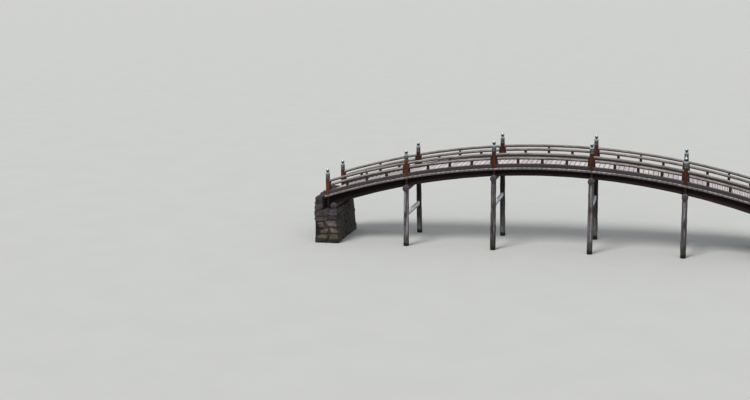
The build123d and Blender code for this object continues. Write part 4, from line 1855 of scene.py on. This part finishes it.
    def stone(
        self, template: Array, box: tuple, number: int, rng: np.random.Generator
    ) -> tuple[Array, Array]:
        """One stone, a rounded block that fills its box up to the joints.

        shape = template / (sum of |template|^p)^(1/p), scaled to the box. One ripple then bends whole
        courses, two more make the stone itself uneven, and the mass's own faces hold it in.

        Args:
            template: points on a cube from -1 to 1, (n, 3).
            box: its range along X, Y and Z.
            number: its number, the seed of its unevenness.
            rng: source of the random draws.

        Returns:
            Its points, (n, 3), and its arris mask, (n,).
        """
        corners = np.array(box, float)
        half = 0.5 * (corners[:, 1] - corners[:, 0]) - 0.5 * self.joint
        power = rng.uniform(*self.roundness)
        shape = template / (np.abs(template) ** power).sum(1, keepdims=True) ** (1 / power)
        points = corners.mean(1) + shape * half * rng.uniform(*self.swell, 3)
        points = Ripple(70 + ENDS[self.end], *self.course_ripple).move(points)
        points = points + rng.uniform(-self.shift, self.shift, 3)
        points = Ripple(1000 + number, *self.stone_ripple).move(points)
        points = Ripple(3000 + number, *self.face_ripple).move(points)
        front, back = self.reach
        low = np.array([front, -self.half_width, 0.0]) + self.clearance
        high = np.array([back, self.half_width, self.landing]) - self.clearance
        arris = np.clip((np.abs(shape) ** 4).sum(1) - 1, 0, 1)
        return self.warp(np.clip(points, low, high)), arris

    def build(self, finishes: Finishes) -> None:
        """Makes the stones and the filling behind their joints.

        Args:
            finishes: every finish of the bridge.
        """
        template, quads = self.block()
        none = np.zeros((0, 3), int)
        rng = np.random.default_rng(80 + ENDS[self.end])
        stones = Skin(f"abutment_stones_{self.end}")
        for number, box in enumerate(self.boxes(rng)):
            points, arris = self.stone(template, box, number, rng)
            stones.add_shell(points, quads, none, points, arris, rng.uniform())
        stones.build(finishes.stone, "abutment_stone", f"abutment_{self.end}", sharp=60)
        core = Skin(f"abutment_filling_{self.end}")
        (front, back), inset = self.reach, self.filling_inset
        for x0, x1, z1 in ((front, back, self.shelf), (back - self.wall, back, self.landing)):
            start, end = np.array([x0, -self.half_width, 0.0]), np.array([x1, self.half_width, z1])
            points = 0.5 * (start + end) + template * (0.5 * (end - start) - inset)
            points[:, 2] -= np.where(points[:, 2] < inset + 0.001, inset - self.clearance, 0)
            points = self.warp(points)
            core.add_shell(points, quads, none, points, np.zeros(len(points)), 0.5)
        core.build(finishes.filling, "abutment_stone")


@dataclass(frozen=True)
class Studio:
    """The floor, the light and the camera."""

    camera_place: tuple[float, float, float] = (6.579, -57.911, 13.556)
    yaw: float = math.radians(-14.453)
    pitch: float = math.radians(-11.063)
    roll: float = math.radians(-0.749)
    lens: float = 59.44
    reach: float = 900.0
    floor_level: float = -0.002
    sky: float = 0.4
    sky_colour: tuple[float, ...] = (0.95, 0.97, 1.0, 1.0)
    backdrop: float = 0.92
    farthest: float = 3000.0

    def build(self, finishes: Finishes) -> None:
        """Makes the floor, the world, the lamps and the camera.

        Args:
            finishes: every finish of the bridge.
        """
        floor = bpy.data.meshes.new("floor")
        r, z = self.reach, self.floor_level
        floor.from_pydata([(-r, -r, z), (r, -r, z), (r, r, z), (-r, r, z)], [], [(0, 1, 2, 3)])
        floor.materials.append(finishes.floor)
        stage = bpy.data.objects.new("floor", floor)
        bpy.context.scene.collection.objects.link(stage)
        self.light()
        self.aim()

    def light(self) -> None:
        """A pale sky all round, a soft sun from high on the left, and a broad fill from the right."""
        world = bpy.data.worlds.new("studio")
        world.use_nodes = True
        g = Graph(world.node_tree)
        rays = g.put("LightPath").outputs
        mirrored = g.math("MAXIMUM", rays["Is Glossy Ray"], rays["Is Transmission Ray"])
        seen = g.math("MAXIMUM", rays["Is Camera Ray"], mirrored)
        background = world.node_tree.nodes["Background"]
        strength = g.band(seen, 0.0, 1.0, self.sky, self.backdrop)
        g.feed(background, {"Color": self.sky_colour, "Strength": strength})
        bpy.context.scene.world = world
        self.lamp("sun", strength=2.1, spread=24, colour=(1.0, 0.97, 0.93), turn=(34, -22))
        self.lamp("fill", strength=0.5, spread=60, colour=(0.97, 0.98, 1.0), turn=(52, 42))

    def lamp(
        self, name: str, strength: float, spread: float, colour: Colour, turn: tuple[float, float]
    ) -> None:
        """Adds a sun lamp.

        Args:
            name: its name.
            strength: its strength.
            spread: the angle in degrees over which its light is spread.
            colour: its colour.
            turn: how far in degrees it leans from straight down, about X and about Y.
        """
        light = bpy.data.lights.new(name, "SUN")
        light.energy, light.angle, light.color = strength, math.radians(spread), colour
        lamp = bpy.data.objects.new(name, light)
        lamp.rotation_euler = (math.radians(turn[0]), math.radians(turn[1]), 0.0)
        bpy.context.scene.collection.objects.link(lamp)

    def aim(self) -> None:
        """Places the camera at the photograph's viewing angle.

        ahead = (sin yaw cos pitch, cos yaw cos pitch, sin pitch), right is level, up = right x ahead,
        and the roll then turns right and up about ahead.
        """
        cy, sy, cp, sp = math.cos(self.yaw), math.sin(self.yaw), math.cos(self.pitch), math.sin(self.pitch)
        ahead = np.array([sy * cp, cy * cp, sp])
        right = np.array([cy, -sy, 0.0])
        up = np.cross(right, ahead)
        cr, sr = math.cos(self.roll), math.sin(self.roll)
        turned, raised = right * cr + up * sr, -right * sr + up * cr
        lens = bpy.data.cameras.new("camera")
        lens.lens = self.lens
        lens.clip_end = self.farthest
        camera = bpy.data.objects.new("camera", lens)
        matrix = np.eye(4)
        matrix[:3, 0], matrix[:3, 1], matrix[:3, 2], matrix[:3, 3] = turned, raised, -ahead, self.camera_place
        camera.matrix_world = Matrix(matrix.tolist())
        bpy.context.scene.collection.objects.link(camera)
        bpy.context.scene.camera = camera
        bpy.context.scene.view_settings.view_transform = "Standard"


def main() -> None:
    """Builds the bridge piece by piece, then the studio."""
    logging.basicConfig(level=logging.INFO, format="%(name)s: %(message)s")
    finishes = Finishes()
    layout = Layout()
    parts = [Deck(layout), Girders(layout), Bents(layout)]
    parts += [Railing(layout, side) for side in SIDES]
    parts += [Posts(layout, side) for side in SIDES]
    parts += [Abutment(end) for end in ENDS]
    for part in parts:
        part.build(finishes)
    Studio().build(finishes)


if __name__ == "__main__":
    main()
